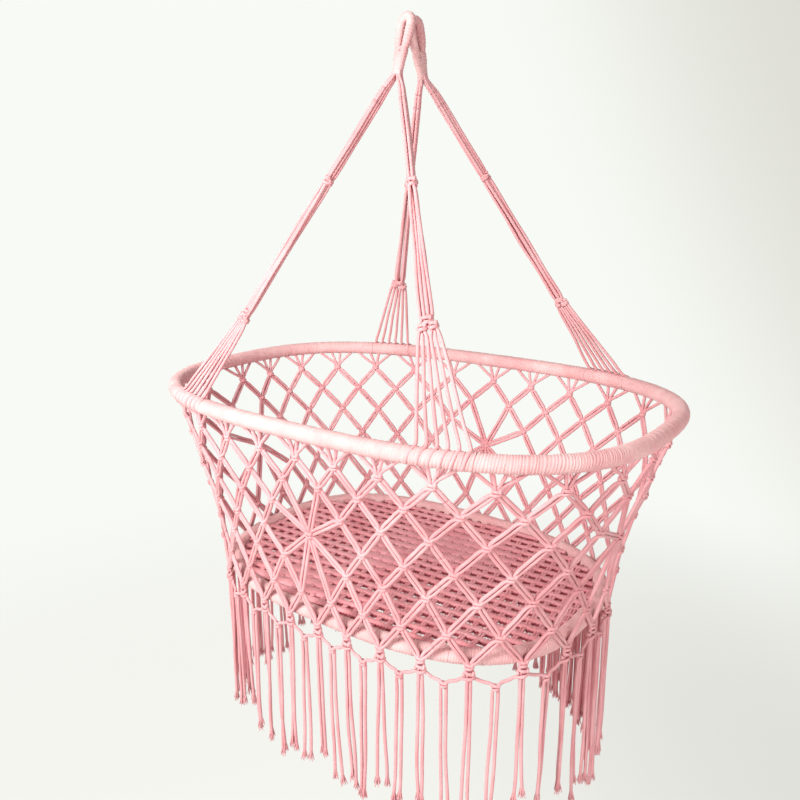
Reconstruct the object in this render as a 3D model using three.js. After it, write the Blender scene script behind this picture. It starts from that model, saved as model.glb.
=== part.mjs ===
import * as THREE from 'three';

// A hanging baby cradle, knotted from cotton cord on two wrapped hoops.
// Millimetres, +Z up, +X along the cradle. The origin is the point where a hook carries the rope eyes.

// Cradle basket
const hangHeight = 595;          // hook point above the middle of the top hoop
const topHalfLength = 450;       // middle of the top hoop's tube, along X
const topHalfWidth = 302;        // and along Y
const bottomHalfLength = 344;
const bottomHalfWidth = 243.5;
const basketDepth = 334;         // from hoop middle to hoop middle
const hoopExponent = 2.76;       // how square the oval hoops are, 2 is an ellipse
const seatGap = 0.3;             // between two pieces that touch

// Hoops: a rod with cord wound round it
const topRodDiameter = 18.2;
const bottomRodDiameter = 17.4;
const hoopWrapWall = 4.3;        // thickness of the wound cord
const hitchWall = 5.4;           // rope ends wound over the rod where a suspension fan is tied
const hoopSides = 8;
const hoopStations = 42;         // cross sections of each hoop
const shareTolerance = 1e-9;

// Side net
const cordDiameter = 6;
const knotsPerPanel = 7;
const panelCount = 4;
const seamShiftPitches = 0.25;   // panels meet halfway along a row of strands
const knotCount = knotsPerPanel * panelCount;
const knotRowShares = [0.13, 0.26, 0.40, 0.555, 0.70, 0.87];   // rows A to F, shares of the depth
const starRowShare = 0.53;       // row where four knots are drawn into one star
const knotLump = 2.2;            // how far a knot stands proud of its cords
const leanStartShare = 0.68;     // share of the depth where the net starts to lean out over the hoop
const hangerCordShares = [-0.4, -0.11, 0.11, 0.4];   // cords from a top knot to the hoop, in knot pitches
const sideDriftShares = [0, 0.3, 0.25, -0.33];       // how far the knots of each quarter drift, in pitches

// Fringe
const strapHalf = 11;            // cords that run on over the bottom hoop, half their height
const clusterDrop = 24;          // fringe knots below the middle of the bottom hoop
const valleyDrop = 41;           // lower knots between them
const tailLength = 232;
const tailLengthSwing = 20;      // tails hang a little longer and shorter in turn
const tailWaveStepShare = 0.366; // of a full wave, from knot to knot
const tailWaveStartShare = 0.16;
const farTailExtra = 38;         // tails of the far side hang lower
const farTailMiddleShare = 0.27; // where they hang, as shares of the hoop's length
const farTailHalfShare = 0.25;
const farTailFadeShare = 0.06;

// Floor net
const floorThickness = 9;
const floorHolePitch = 44;
const floorRowPitch = 26;
const floorHoleLength = 15;
const floorHoleWidth = 9;
const floorRimWidth = 20;        // closed border between the holes and the hoop

// Suspension
const neckHalfSpacing = 36;      // Y of each neck's lower end
const neckDrop = 80;             // its depth below the hook point
const neckLength = 40;
const eyeHeight = 58;            // outer height of a rope eye above its neck
const eyeRopeDiameter = 15.5;    // wrapped rope of an eye
const eyeHalfSpread = 12.2;      // from the eye's middle to the middle of its rope
const nearEyeTopY = -15;         // the two eyes at the hook
const farEyeTopY = 17;
const eyeShoulderShare = 1 / 8;  // share of the eye's height where its ropes have left the neck
const eyeSpreadShare = 1 / 3;    // and where they are fully apart
const shoulderRadiusShare = 0.9;
const legDiameter = 8.8;         // the same rope, drawn tight inside its neck
const windingCord = 4;
const windingTurns = 8;
const windingSides = 5;
const fanArc = 88;               // length of hoop that one fan is tied to
const fanOffsetShare = 0.1004;   // fan middle from the side's middle, a share of the hoop's length
const ropeCount = 6;
const ropeDiameter = 5.7;
const ropePitch = 6.2;
const exitHalfSpacing = 6.6;     // two bundles side by side under one neck
const flexLength = 46;           // short free stretch under a neck, where the ropes bend
const midKnotShares = [0.295, 0.32, 0.31, 0.32];      // of the way from neck to hoop, bundle by bundle
const lowKnotShares = [0.715, 0.695, 0.725, 0.69];
const midKnotHalf = { width: 8.5, depth: 8.5, length: 8 };
const lowKnotHalf = { width: 19, depth: 6.5, length: 7.5 };
const upperDepth = 15;           // six ropes, two wide and three deep
const lowerDepth = 9;            // four wide, with two behind
const upperCount = 2;
const lowerCount = 4;
const ropeSides = 8;

const topRadius = topRodDiameter / 2 + hoopWrapWall;
const bottomRadius = bottomRodDiameter / 2 + hoopWrapWall;
const hitchRadius = topRodDiameter / 2 + hitchWall;

const cradle = new THREE.Group();

const palePinkCord = new THREE.MeshStandardMaterial({ color: 0xf3cfd2, roughness: 0.92, metalness: 0 });
const pinkWrap = new THREE.MeshStandardMaterial({ color: 0xf1c6ca, roughness: 0.9, metalness: 0 });
const deepPinkCord = new THREE.MeshStandardMaterial({ color: 0xdf9aa4, roughness: 0.94, metalness: 0 });
const hoopRod = new THREE.MeshStandardMaterial({ color: 0xc9a77a, roughness: 0.6, metalness: 0 });

function addPiece(name, geometry, material) {
  const mesh = new THREE.Mesh(geometry, material.clone());
  mesh.name = name;
  cradle.add(mesh);
}

// Meshes

class MeshWriter {
  constructor() {
    this.positions = [];
    this.index = [];
  }

  vertex(point) {
    this.positions.push(point.x, point.y, point.z);
    return this.positions.length / 3 - 1;
  }

  quad(a, b, c, d) {
    this.index.push(a, b, c, a, c, d);
  }

  geometry() {
    const geometry = new THREE.BufferGeometry();
    geometry.setAttribute('position', new THREE.Float32BufferAttribute(this.positions, 3));
    geometry.setIndex(this.index);
    geometry.computeVertexNormals();
    return geometry;
  }
}

// A solid through a row of rings of points, with a fan of triangles on each end.
// The rings turn anticlockwise when seen from ahead of the row.
function loftRings(rings) {
  const writer = new MeshWriter();
  const rows = rings.map((ring) => ring.map((point) => writer.vertex(point)));
  const sides = rings[0].length;
  for (let r = 0; r + 1 < rows.length; r += 1) {
    for (let s = 0; s < sides; s += 1) {
      const next = (s + 1) % sides;
      writer.quad(rows[r][s], rows[r][next], rows[r + 1][next], rows[r + 1][s]);
    }
  }
  const first = rows[0];
  const last = rows[rows.length - 1];
  for (let s = 1; s + 1 < sides; s += 1) {
    writer.index.push(first[0], first[s + 1], first[s]);
    writer.index.push(last[0], last[s], last[s + 1]);
  }
  return writer.geometry();
}

function ovalRing(centre, side, up, sideRadius, upRadius, sides) {
  const ring = [];
  for (let s = 0; s < sides; s += 1) {
    const angle = (2 * Math.PI * s) / sides;
    ring.push(centre.clone()
      .addScaledVector(side, sideRadius * Math.cos(angle))
      .addScaledVector(up, upRadius * Math.sin(angle)));
  }
  return ring;
}

// A round tube along points, with a radius at each point. The reference stays square to the path.
function tubeAlong(points, radii, sides, reference) {
  const rings = points.map((point, i) => {
    const before = points[Math.max(i - 1, 0)];
    const after = points[Math.min(i + 1, points.length - 1)];
    const tangent = after.clone().sub(before).normalize();
    const side = reference.clone().cross(tangent).normalize();
    const up = tangent.clone().cross(side);
    return ovalRing(point, side, up, radii[i], radii[i], sides);
  });
  return loftRings(rings);
}

// A net of flat strands. Each point has a place, an outward normal and a lump height, and each span
// joins two points by a strand of its own width. Strands that meet at a point share their corners.
const nearlyStraight = 0.05;

function netSolid(points, spans, thickness) {
  const writer = new MeshWriter();
  const arms = points.map(() => []);
  for (const span of spans) {
    for (const [here, there, key] of [[span.from, span.to, 'start'], [span.to, span.from, 'end']]) {
      const { place, normal } = points[here];
      const along = points[there].place.clone().sub(place);
      along.addScaledVector(normal, -along.dot(normal)).normalize();
      arms[here].push({ span, key, along, half: span.width / 2 });
    }
  }
  points.forEach((point, p) => {
    const { place, normal } = point;
    const east = arms[p][0].along;
    const north = normal.clone().cross(east);
    for (const arm of arms[p]) {
      arm.turn = Math.atan2(arm.along.dot(north), arm.along.dot(east));
    }
    arms[p].sort((a, b) => a.turn - b.turn);
    const corner = (offset) => ({
      outer: writer.vertex(place.clone().add(offset).addScaledVector(normal, thickness / 2)),
      inner: writer.vertex(place.clone().add(offset).addScaledVector(normal, -thickness / 2)),
    });
    const leftOf = (arm) => normal.clone().cross(arm.along).multiplyScalar(arm.half);
    if (arms[p].length === 1) {
      const arm = arms[p][0];
      arm.left = corner(leftOf(arm));
      arm.right = corner(leftOf(arm).negate());
      writer.quad(arm.left.outer, arm.left.inner, arm.right.inner, arm.right.outer);
    } else {
      arms[p].forEach((arm, i) => {
        const next = arms[p][(i + 1) % arms[p].length];
        const left = leftOf(arm);
        const right = leftOf(next).negate();
        const bend = arm.along.clone().cross(next.along).dot(normal);
        let offset = left.clone().add(right).multiplyScalar(0.5);
        if (Math.abs(bend) > nearlyStraight) {
          const reach = right.clone().sub(left).cross(next.along).dot(normal) / bend;
          offset = left.clone().addScaledVector(arm.along, reach);
        }
        arm.left = corner(offset);
        next.right = arm.left;
      });
    }
    if (arms[p].length > 2) {
      const top = writer.vertex(place.clone().addScaledVector(normal, thickness / 2 + point.lump));
      for (const arm of arms[p]) {
        writer.index.push(top, arm.right.outer, arm.left.outer);
      }
      const under = arms[p].map((arm) => arm.right.inner);
      for (let i = 1; i + 1 < under.length; i += 1) {
        writer.index.push(under[0], under[i + 1], under[i]);
      }
    }
  });
  for (const span of spans) {
    const start = arms[span.from].find((arm) => arm.span === span && arm.key === 'start');
    const end = arms[span.to].find((arm) => arm.span === span && arm.key === 'end');
    writer.quad(start.right.outer, end.left.outer, end.right.outer, start.left.outer);
    writer.quad(start.left.inner, end.right.inner, end.left.inner, start.right.inner);
    writer.quad(start.right.outer, start.right.inner, end.left.inner, end.left.outer);
    writer.quad(start.left.outer, end.right.outer, end.right.inner, start.left.inner);
  }
  return writer.geometry();
}

// Hoops

// Places on an oval hoop by their share of its length, anticlockwise from the +X end.
class Hoop {
  constructor(halfLength, halfWidth, height) {
    this.halfLength = halfLength;
    this.halfWidth = halfWidth;
    this.height = height;
    const steps = 2880;
    this.table = [{ turn: 0, run: 0 }];
    let before = this.onCurve(0);
    for (let i = 1; i <= steps; i += 1) {
      const turn = (2 * Math.PI * i) / steps;
      const here = this.onCurve(turn);
      this.table.push({ turn, run: this.table[i - 1].run + here.distanceTo(before) });
      before = here;
    }
    this.length = this.table[steps].run;
  }

  onCurve(turn) {
    const bend = 2 / hoopExponent;
    const c = Math.cos(turn);
    const s = Math.sin(turn);
    return new THREE.Vector3(
      this.halfLength * Math.sign(c) * Math.abs(c) ** bend,
      this.halfWidth * Math.sign(s) * Math.abs(s) ** bend,
      this.height,
    );
  }

  place(share) {
    const run = (share - Math.floor(share)) * this.length;
    let low = 0;
    let high = this.table.length - 1;
    while (high - low > 1) {
      const middle = Math.floor((low + high) / 2);
      if (this.table[middle].run <= run) {
        low = middle;
      } else {
        high = middle;
      }
    }
    const a = this.table[low];
    const b = this.table[high];
    return this.onCurve(a.turn + ((b.turn - a.turn) * (run - a.run)) / (b.run - a.run));
  }

  outward(share) {
    const step = 0.002;
    const tangent = this.place(share + step).sub(this.place(share - step));
    return new THREE.Vector3(tangent.y, -tangent.x, 0).normalize();
  }

  along(share) {
    const outward = this.outward(share);
    return new THREE.Vector3(-outward.y, outward.x, 0);
  }
}

const topHoop = new Hoop(topHalfLength, topHalfWidth, -hangHeight);
const bottomHoop = new Hoop(bottomHalfLength, bottomHalfWidth, -hangHeight - basketDepth);

// Shares of the hoop's length where its cross sections stand, evenly between the given breaks.
function stationShares(breaks, stepLength, hoop) {
  const shares = [];
  breaks.forEach((from, i) => {
    const to = i + 1 < breaks.length ? breaks[i + 1] : breaks[0] + 1;
    const steps = Math.max(1, Math.round(((to - from) * hoop.length) / stepLength));
    for (let s = 0; s < steps; s += 1) {
      shares.push(from + ((to - from) * s) / steps);
    }
  });
  return shares;
}

// The place on the straight facet that the hoop has at this share.
function onFacet(hoop, shares, share) {
  const after = shares.findIndex((station) => station > share);
  const from = shares[after - 1];
  const to = shares[after];
  return hoop.place(from).lerp(hoop.place(to), (share - from) / (to - from));
}

function hoopRing(hoop, share, radius, shift) {
  const centre = hoop.place(share).addScaledVector(hoop.along(share), shift);
  const inward = hoop.outward(share).negate();
  return ovalRing(centre, inward, new THREE.Vector3(0, 0, 1), radius, radius, hoopSides);
}

function hoopCore(hoop, shares, radius) {
  const writer = new MeshWriter();
  const rows = shares.map((share) => hoopRing(hoop, share, radius, 0).map((point) => writer.vertex(point)));
  rows.forEach((row, r) => {
    const nextRow = rows[(r + 1) % rows.length];
    for (let s = 0; s < hoopSides; s += 1) {
      const next = (s + 1) % hoopSides;
      writer.quad(row[s], row[next], nextRow[next], nextRow[s]);
    }
  });
  return writer.geometry();
}

// The cord wound on one stretch of hoop, as a sleeve that is open at both ends.
function hoopSleeve(hoop, shares, outerRadius, boreRadius) {
  const writer = new MeshWriter();
  const last = shares.length - 1;
  const rowsOf = (radius) => shares.map((share, i) => {
    let shift = 0;
    if (i === 0) {
      shift = seatGap / 2;
    } else if (i === last) {
      shift = -seatGap / 2;
    }
    return hoopRing(hoop, share, radius, shift).map((point) => writer.vertex(point));
  });
  const outer = rowsOf(outerRadius);
  const bore = rowsOf(boreRadius);
  for (let s = 0; s < hoopSides; s += 1) {
    const next = (s + 1) % hoopSides;
    for (let r = 0; r < last; r += 1) {
      writer.quad(outer[r][s], outer[r][next], outer[r + 1][next], outer[r + 1][s]);
      writer.quad(bore[r][next], bore[r][s], bore[r + 1][s], bore[r + 1][next]);
    }
    writer.quad(outer[0][next], outer[0][s], bore[0][s], bore[0][next]);
    writer.quad(outer[last][s], outer[last][next], bore[last][next], bore[last][s]);
  }
  return writer.geometry();
}

const fanHalfShare = fanArc / 2 / topHoop.length;
const sideMiddles = { far: 0.25, near: 0.75 };

const bundles = [
  { name: 'far_right', side: 'far', middle: sideMiddles.far - fanOffsetShare, x: 1 },
  { name: 'far_left', side: 'far', middle: sideMiddles.far + fanOffsetShare, x: -1 },
  { name: 'near_left', side: 'near', middle: sideMiddles.near - fanOffsetShare, x: -1 },
  { name: 'near_right', side: 'near', middle: sideMiddles.near + fanOffsetShare, x: 1 },
];
const stretchNames = ['far_right', 'far', 'far_left', 'left', 'near_left', 'near', 'near_right', 'right'];
const topBreaks = bundles.flatMap((bundle) => [bundle.middle - fanHalfShare, bundle.middle + fanHalfShare]);
const stationStep = topHoop.length / hoopStations;
const topShares = stationShares(topBreaks, stationStep, topHoop);
addPiece('top_hoop_rod', hoopCore(topHoop, topShares, topRodDiameter / 2), hoopRod);
stretchNames.forEach((stretch, i) => {
  const from = topBreaks[i];
  const to = i + 1 < topBreaks.length ? topBreaks[i + 1] : topBreaks[0] + 1;
  const shares = [...topShares, ...topShares.map((share) => share + 1)];
  const inside = shares.filter((share) => share > from - shareTolerance && share < to + shareTolerance);
  const tied = i % 2 === 0;
  addPiece(
    tied ? `rope_hitch_${stretch}` : `top_hoop_wrap_${stretch}`,
    hoopSleeve(topHoop, inside, tied ? hitchRadius : topRadius, topRodDiameter / 2 + seatGap),
    pinkWrap,
  );
});

const panelNames = ['right', 'far', 'left', 'near'];
const seamPitches = knotsPerPanel / 2 - seamShiftPitches;
const bottomBreaks = panelNames.map((_, p) => (p * knotsPerPanel + seamPitches) / knotCount);
const bottomShares = stationShares(bottomBreaks, stationStep, bottomHoop);
addPiece('bottom_hoop_rod', hoopCore(bottomHoop, bottomShares, bottomRodDiameter / 2), hoopRod);
panelNames.forEach((name, p) => {
  const from = bottomBreaks[(p + panelCount - 1) % panelCount] - (p === 0 ? 1 : 0);
  const to = bottomBreaks[p];
  const shares = [...bottomShares.map((share) => share - 1), ...bottomShares];
  const inside = shares.filter((share) => share > from - shareTolerance && share < to + shareTolerance);
  addPiece(
    `bottom_hoop_wrap_${name}`,
    hoopSleeve(bottomHoop, inside, bottomRadius, bottomRodDiameter / 2 + seatGap),
    pinkWrap,
  );
});

// Side net

const overHoop = bottomRadius + cordDiameter / 2 + 2 * seatGap;

function driftedShare(knot) {
  const quarter = Math.floor((((knot % knotCount) + knotCount) % knotCount) / knotsPerPanel);
  const within = (((knot % knotsPerPanel) + knotsPerPanel) % knotsPerPanel) / knotsPerPanel;
  return (knot + sideDriftShares[quarter] * Math.sin(Math.PI * within)) / knotCount;
}

function onNet(knot, depthShare) {
  const share = driftedShare(knot);
  const lean = Math.max(0, (depthShare - leanStartShare) / (1 - leanStartShare));
  return topHoop.place(share).lerp(bottomHoop.place(share), depthShare)
    .addScaledVector(bottomHoop.outward(share), overHoop * Math.min(1, lean));
}

function netNormal(knot, depthShare) {
  const step = 0.01;
  const along = onNet(knot + step, depthShare).sub(onNet(knot - step, depthShare));
  const down = onNet(knot, depthShare + step).sub(onNet(knot, depthShare - step));
  return down.cross(along).normalize();
}

// Where a cord from a top knot ends square against the underside of the top hoop.
function underHoop(knot, endKnot) {
  const reach = topRadius + seatGap;
  const start = onNet(knot, rowDepth(0));
  const normal = netNormal(endKnot, reach / basketDepth);
  const way = onNet(endKnot, reach / basketDepth).sub(start).normalize();
  const across = normal.clone().cross(way);
  const rise = (cordDiameter / 2) * (Math.abs(across.z) + Math.abs(normal.z));
  return { place: onNet(endKnot, (reach + rise) / basketDepth), normal };
}

class Lattice {
  constructor() {
    this.points = [];
    this.spans = [];
    this.names = new Map();
  }

  point(name, place, normal, lump) {
    if (!this.names.has(name)) {
      this.names.set(name, this.points.length);
      this.points.push({ place, normal, lump });
    }
    return this.names.get(name);
  }

  span(from, to, width) {
    this.spans.push({ from, to, width });
  }
}

// Row 0 is the row of knots under the top hoop, and row 6 lies on the bottom hoop.
const lastRow = knotRowShares.length;
const rowDepth = (row) => (row < lastRow ? knotRowShares[row] : 1);
const starKnot = (knot) => knot % knotsPerPanel === 0;
const starRows = { high: 2, middle: 3, low: 4 };

// The four knots of one diamond in the middle of each panel are drawn into a star.
function knotAt(row, knot) {
  const nearest = Math.round(knot / knotsPerPanel) * knotsPerPanel;
  const drawn = (row === starRows.middle && Math.abs(knot - nearest) === 0.5)
    || ((row === starRows.high || row === starRows.low) && knot === nearest);
  return drawn ? { name: `star ${nearest}`, knot: nearest, depth: starRowShare }
    : { name: `${row} ${knot}`, knot, depth: rowDepth(row) };
}

const netThickness = cordDiameter;
const pairWidth = 2 * cordDiameter;

// Knots go round in pitches from the middle of the right end. A panel owns those between its two seams.
function panelOwns(middle, knot) {
  return knot > middle - seamPitches - 0.5 && knot < middle + seamPitches;
}

// Where a strand stops short of the seam halfway to its next knot.
function seamCut(start, finish, normal) {
  const along = finish.clone().sub(start).normalize();
  return {
    place: start.clone().lerp(finish, 0.5).addScaledVector(along, -seatGap),
    normal: normal.addScaledVector(along, -normal.dot(along)).normalize(),
  };
}

panelNames.forEach((name, p) => {
  const middle = p * knotsPerPanel;
  const net = new Lattice();
  const addKnot = ({ name: label, knot, depth }) => {
    return net.point(label, onNet(knot, depth), netNormal(knot, depth), knotLump);
  };
  const ownsKnot = (knot) => panelOwns(middle, knot);
  const drawStrand = (a, b) => {
    if (a.name === b.name || !(ownsKnot(a.knot) || ownsKnot(b.knot))) {
      return;
    }
    if (ownsKnot(a.knot) && ownsKnot(b.knot)) {
      net.span(addKnot(a), addKnot(b), pairWidth);
      return;
    }
    const [own, other] = ownsKnot(a.knot) ? [a, b] : [b, a];
    const halfway = netNormal((own.knot + other.knot) / 2, (own.depth + other.depth) / 2);
    const cut = seamCut(onNet(own.knot, own.depth), onNet(other.knot, other.depth), halfway);
    net.span(addKnot(own), net.point(`seam ${own.name} ${other.name}`, cut.place, cut.normal, 0), pairWidth);
  };
  for (let knot = middle - knotsPerPanel; knot <= middle + knotsPerPanel; knot += 1) {
    for (let row = 0; row < lastRow; row += 1) {
      const shift = row % 2 === 0 ? 0 : 0.5;
      for (const side of [-0.5, 0.5]) {
        drawStrand(knotAt(row, knot + shift), knotAt(row + 1, knot + shift + side));
      }
    }
    if (ownsKnot(knot)) {
      const topKnot = addKnot(knotAt(0, knot));
      hangerCordShares.forEach((share, c) => {
        const { place, normal } = underHoop(knot, knot + share);
        net.span(topKnot, net.point(`hoop ${knot} ${c}`, place, normal, 0), cordDiameter);
      });
      const hoopKnot = addKnot(knotAt(lastRow, knot));
      const outward = bottomHoop.outward(driftedShare(knot));
      const strapEnd = onNet(knot, 1).add(new THREE.Vector3(0, 0, -strapHalf));
      net.points[hoopKnot].normal = outward;
      net.span(hoopKnot, net.point(`strap ${knot}`, strapEnd, outward, 0), pairWidth);
    }
  }
  addPiece(`side_net_${name}`, netSolid(net.points, net.spans, netThickness), palePinkCord);
});

// Fringe: clusters under the hoop, lower knots between them, and the cut ends that hang from both

function tailDrop(knot) {
  const share = driftedShare(knot) - Math.floor(driftedShare(knot));
  const within = farTailHalfShare - Math.abs(share - farTailMiddleShare);
  const farness = Math.min(1, Math.max(0, 1 + within / farTailFadeShare));
  const wave = 2 * Math.PI * (tailWaveStepShare * knot + tailWaveStartShare);
  return tailLength + tailLengthSwing * Math.sin(wave) + farTailExtra * farness;
}

panelNames.forEach((name, p) => {
  const middle = p * knotsPerPanel;
  const fringe = new Lattice();
  const ownsKnot = (knot) => panelOwns(middle, knot);
  const outwardAt = (knot) => bottomHoop.outward(driftedShare(knot));
  const dropOf = (knot) => (Number.isInteger(knot) ? clusterDrop : valleyDrop);
  const below = (knot, drop) => onNet(knot, 1).add(new THREE.Vector3(0, 0, -drop));
  const knotOf = (knot) => fringe.point(`${knot}`, below(knot, dropOf(knot)), outwardAt(knot), knotLump);
  for (let knot = middle - knotsPerPanel / 2; knot < middle + seamPitches; knot += 0.5) {
    const here = knotOf(knot);
    const foot = below(knot, dropOf(knot) + tailDrop(knot));
    fringe.span(here, fringe.point(`tail ${knot}`, foot, outwardAt(knot), 0), pairWidth);
    if (Number.isInteger(knot)) {
      const strap = fringe.point(`strap ${knot}`, below(knot, strapHalf + seatGap), outwardAt(knot), 0);
      fringe.span(strap, here, pairWidth);
    }
    if (ownsKnot(knot + 0.5)) {
      fringe.span(here, knotOf(knot + 0.5), cordDiameter);
    }
    if (knot === middle - knotsPerPanel / 2 || !ownsKnot(knot + 0.5)) {
      const next = knot + (knot < middle ? -0.5 : 0.5);
      const cut = seamCut(below(knot, dropOf(knot)), below(next, dropOf(next)), outwardAt((knot + next) / 2));
      fringe.span(here, fringe.point(`seam ${knot}`, cut.place, cut.normal, 0), cordDiameter);
    }
  }
  addPiece(`fringe_${name}`, netSolid(fringe.points, fringe.spans, netThickness), palePinkCord);
});

// Floor net: a knotted sheet inside the bottom hoop, with rows of slit holes

function floorNet() {
  const edge = bottomShares.map((share) => {
    return bottomHoop.place(share).addScaledVector(bottomHoop.outward(share), -bottomRadius - seatGap);
  });
  const outline = new THREE.Shape(edge.map((point) => new THREE.Vector2(point.x, point.y)));
  const border = bottomRadius + floorRimWidth;
  const inside = (x, y) => {
    const along = Math.abs(x) / (bottomHalfLength - border - floorHoleLength / 2);
    const across = Math.abs(y) / (bottomHalfWidth - border - floorHoleWidth / 2);
    return along ** hoopExponent + across ** hoopExponent < 1;
  };
  const rows = Math.floor(bottomHalfWidth / floorRowPitch);
  const columns = Math.floor(bottomHalfLength / floorHolePitch) + 1;
  for (let row = -rows; row <= rows; row += 1) {
    for (let column = -columns; column <= columns; column += 1) {
      const x = (column + (row % 2 === 0 ? 0 : 0.5)) * floorHolePitch;
      const y = row * floorRowPitch;
      if (inside(x, y)) {
        outline.holes.push(new THREE.Path([
          new THREE.Vector2(x - floorHoleLength / 2, y),
          new THREE.Vector2(x, y - floorHoleWidth / 2),
          new THREE.Vector2(x + floorHoleLength / 2, y),
          new THREE.Vector2(x, y + floorHoleWidth / 2),
        ]));
      }
    }
  }
  const geometry = new THREE.ExtrudeGeometry(outline, { depth: floorThickness, bevelEnabled: false });
  geometry.translate(0, 0, bottomHoop.height - floorThickness / 2);
  return geometry;
}

addPiece('floor_net', floorNet(), deepPinkCord);

// Rope eyes and their necks

const necks = {
  near: { foot: new THREE.Vector3(0, -neckHalfSpacing, -neckDrop), topY: nearEyeTopY, across: [1, 0] },
  far: { foot: new THREE.Vector3(0, neckHalfSpacing, -neckDrop), topY: farEyeTopY, across: [0, 1] },
};

for (const neck of Object.values(necks)) {
  const crown = new THREE.Vector3(0, neck.topY, eyeRopeDiameter / 2);
  neck.axis = crown.clone().sub(neck.foot).normalize();
  neck.reach = crown.distanceTo(neck.foot);
  const wanted = new THREE.Vector3(neck.across[0], neck.across[1], 0);
  neck.lateral = wanted.addScaledVector(neck.axis, -wanted.dot(neck.axis)).normalize();
  neck.depth = neck.axis.clone().cross(neck.lateral);
}

const legSpread = legDiameter / 2 + seatGap;

function ropeEye(neck) {
  const eyeRadius = eyeRopeDiameter / 2;
  const bow = neck.reach - eyeHalfSpread;
  const half = [
    { out: legSpread, up: 0, radius: legDiameter / 2 },
    { out: legSpread, up: neckLength, radius: legDiameter / 2 },
    {
      out: (legSpread + eyeHalfSpread) / 2,
      up: neckLength + eyeHeight * eyeShoulderShare,
      radius: eyeRadius * shoulderRadiusShare,
    },
    { out: eyeHalfSpread, up: neckLength + eyeHeight * eyeSpreadShare, radius: eyeRadius },
  ];
  const arcSteps = 8;
  for (let i = 0; i < arcSteps / 2; i += 1) {
    const angle = (Math.PI * i) / arcSteps;
    half.push({
      out: eyeHalfSpread * Math.cos(angle),
      up: bow + eyeHalfSpread * Math.sin(angle),
      radius: eyeRadius,
    });
  }
  const crown = { out: 0, up: neck.reach, radius: eyeRadius };
  const mirrored = half.map((step) => ({ ...step, out: -step.out })).reverse();
  const route = [...half, crown, ...mirrored];
  const points = route.map((step) => neck.foot.clone()
    .addScaledVector(neck.lateral, step.out)
    .addScaledVector(neck.axis, step.up));
  return tubeAlong(points, route.map((step) => step.radius), ropeSides, neck.depth);
}

// One unbroken cord wound round both legs of an eye.
function neckWinding(neck) {
  const slack = 1.5 * seatGap;     // keeps the straight steps of each bend off the leg
  const run = legDiameter / 2 + windingCord / 2 + slack;
  const start = windingCord / 2;
  const climb = (neckLength - windingCord - seatGap) / windingTurns;
  const stepsPerBend = 5;
  const stepsPerTurn = 2 * (stepsPerBend + 1);
  const points = [];
  for (let step = 0; step <= windingTurns * stepsPerTurn; step += 1) {
    const within = step % stepsPerTurn;
    const onFarBend = within > stepsPerBend;
    const bendStep = onFarBend ? within - stepsPerBend - 1 : within;
    const angle = Math.PI * (bendStep / stepsPerBend - 0.5) + (onFarBend ? Math.PI : 0);
    const centre = onFarBend ? -legSpread : legSpread;
    points.push(neck.foot.clone()
      .addScaledVector(neck.lateral, centre + run * Math.cos(angle))
      .addScaledVector(neck.depth, run * Math.sin(angle))
      .addScaledVector(neck.axis, start + (climb * step) / stepsPerTurn));
  }
  return tubeAlong(points, points.map(() => windingCord / 2), windingSides, neck.axis);
}

for (const [side, neck] of Object.entries(necks)) {
  addPiece(`rope_eye_${side}`, ropeEye(neck), palePinkCord);
  addPiece(`neck_winding_${side}`, neckWinding(neck), pinkWrap);
}

// Suspension bundles

// Ropes side by side, joined across their upper ends, and across their lower ends if asked.
function ropeBand(frame, band) {
  const lattice = new Lattice();
  const header = band.width / 2;
  const rows = band.joinedBelow ? ['top', 'foot'] : ['top'];
  const offset = (pitch, i) => (i - (band.count - 1) / 2) * pitch;
  const spot = (end, i) => {
    const [centre, pitch] = end === 'top' ? [band.top, band.topPitch] : [band.foot, band.footPitch];
    const place = centre.clone()
      .addScaledVector(frame.lateral, offset(pitch, i))
      .addScaledVector(frame.down, end === 'top' ? header : -header);
    if (end === 'foot' && band.seats) {
      const [seat, normal] = band.seats(i, place);
      return lattice.point(`foot ${i}`, seat, normal, 0);
    }
    return lattice.point(`${end} ${i}`, place, frame.depth, 0);
  };
  for (let i = 0; i < band.count; i += 1) {
    lattice.span(spot('top', i), spot('foot', i), band.width);
  }
  for (const end of rows) {
    for (let i = 0; i + 1 < band.count; i += 1) {
      lattice.span(spot(end, i), spot(end, i + 1), band.width);
    }
  }
  return netSolid(lattice.points, lattice.spans, band.depth);
}

const knotProfileShares = [[-1, 0.7], [-0.45, 1], [0.45, 1], [1, 0.7]];   // along and swell, bottom to top

function ropeKnot(centre, frame, half) {
  const rings = knotProfileShares.map(([along, swell]) => ovalRing(
    centre.clone().addScaledVector(frame.down, half.length * along),
    frame.lateral,
    frame.depth,
    half.width * swell,
    half.depth * swell,
    ropeSides,
  ));
  return loftRings(rings);
}

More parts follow.
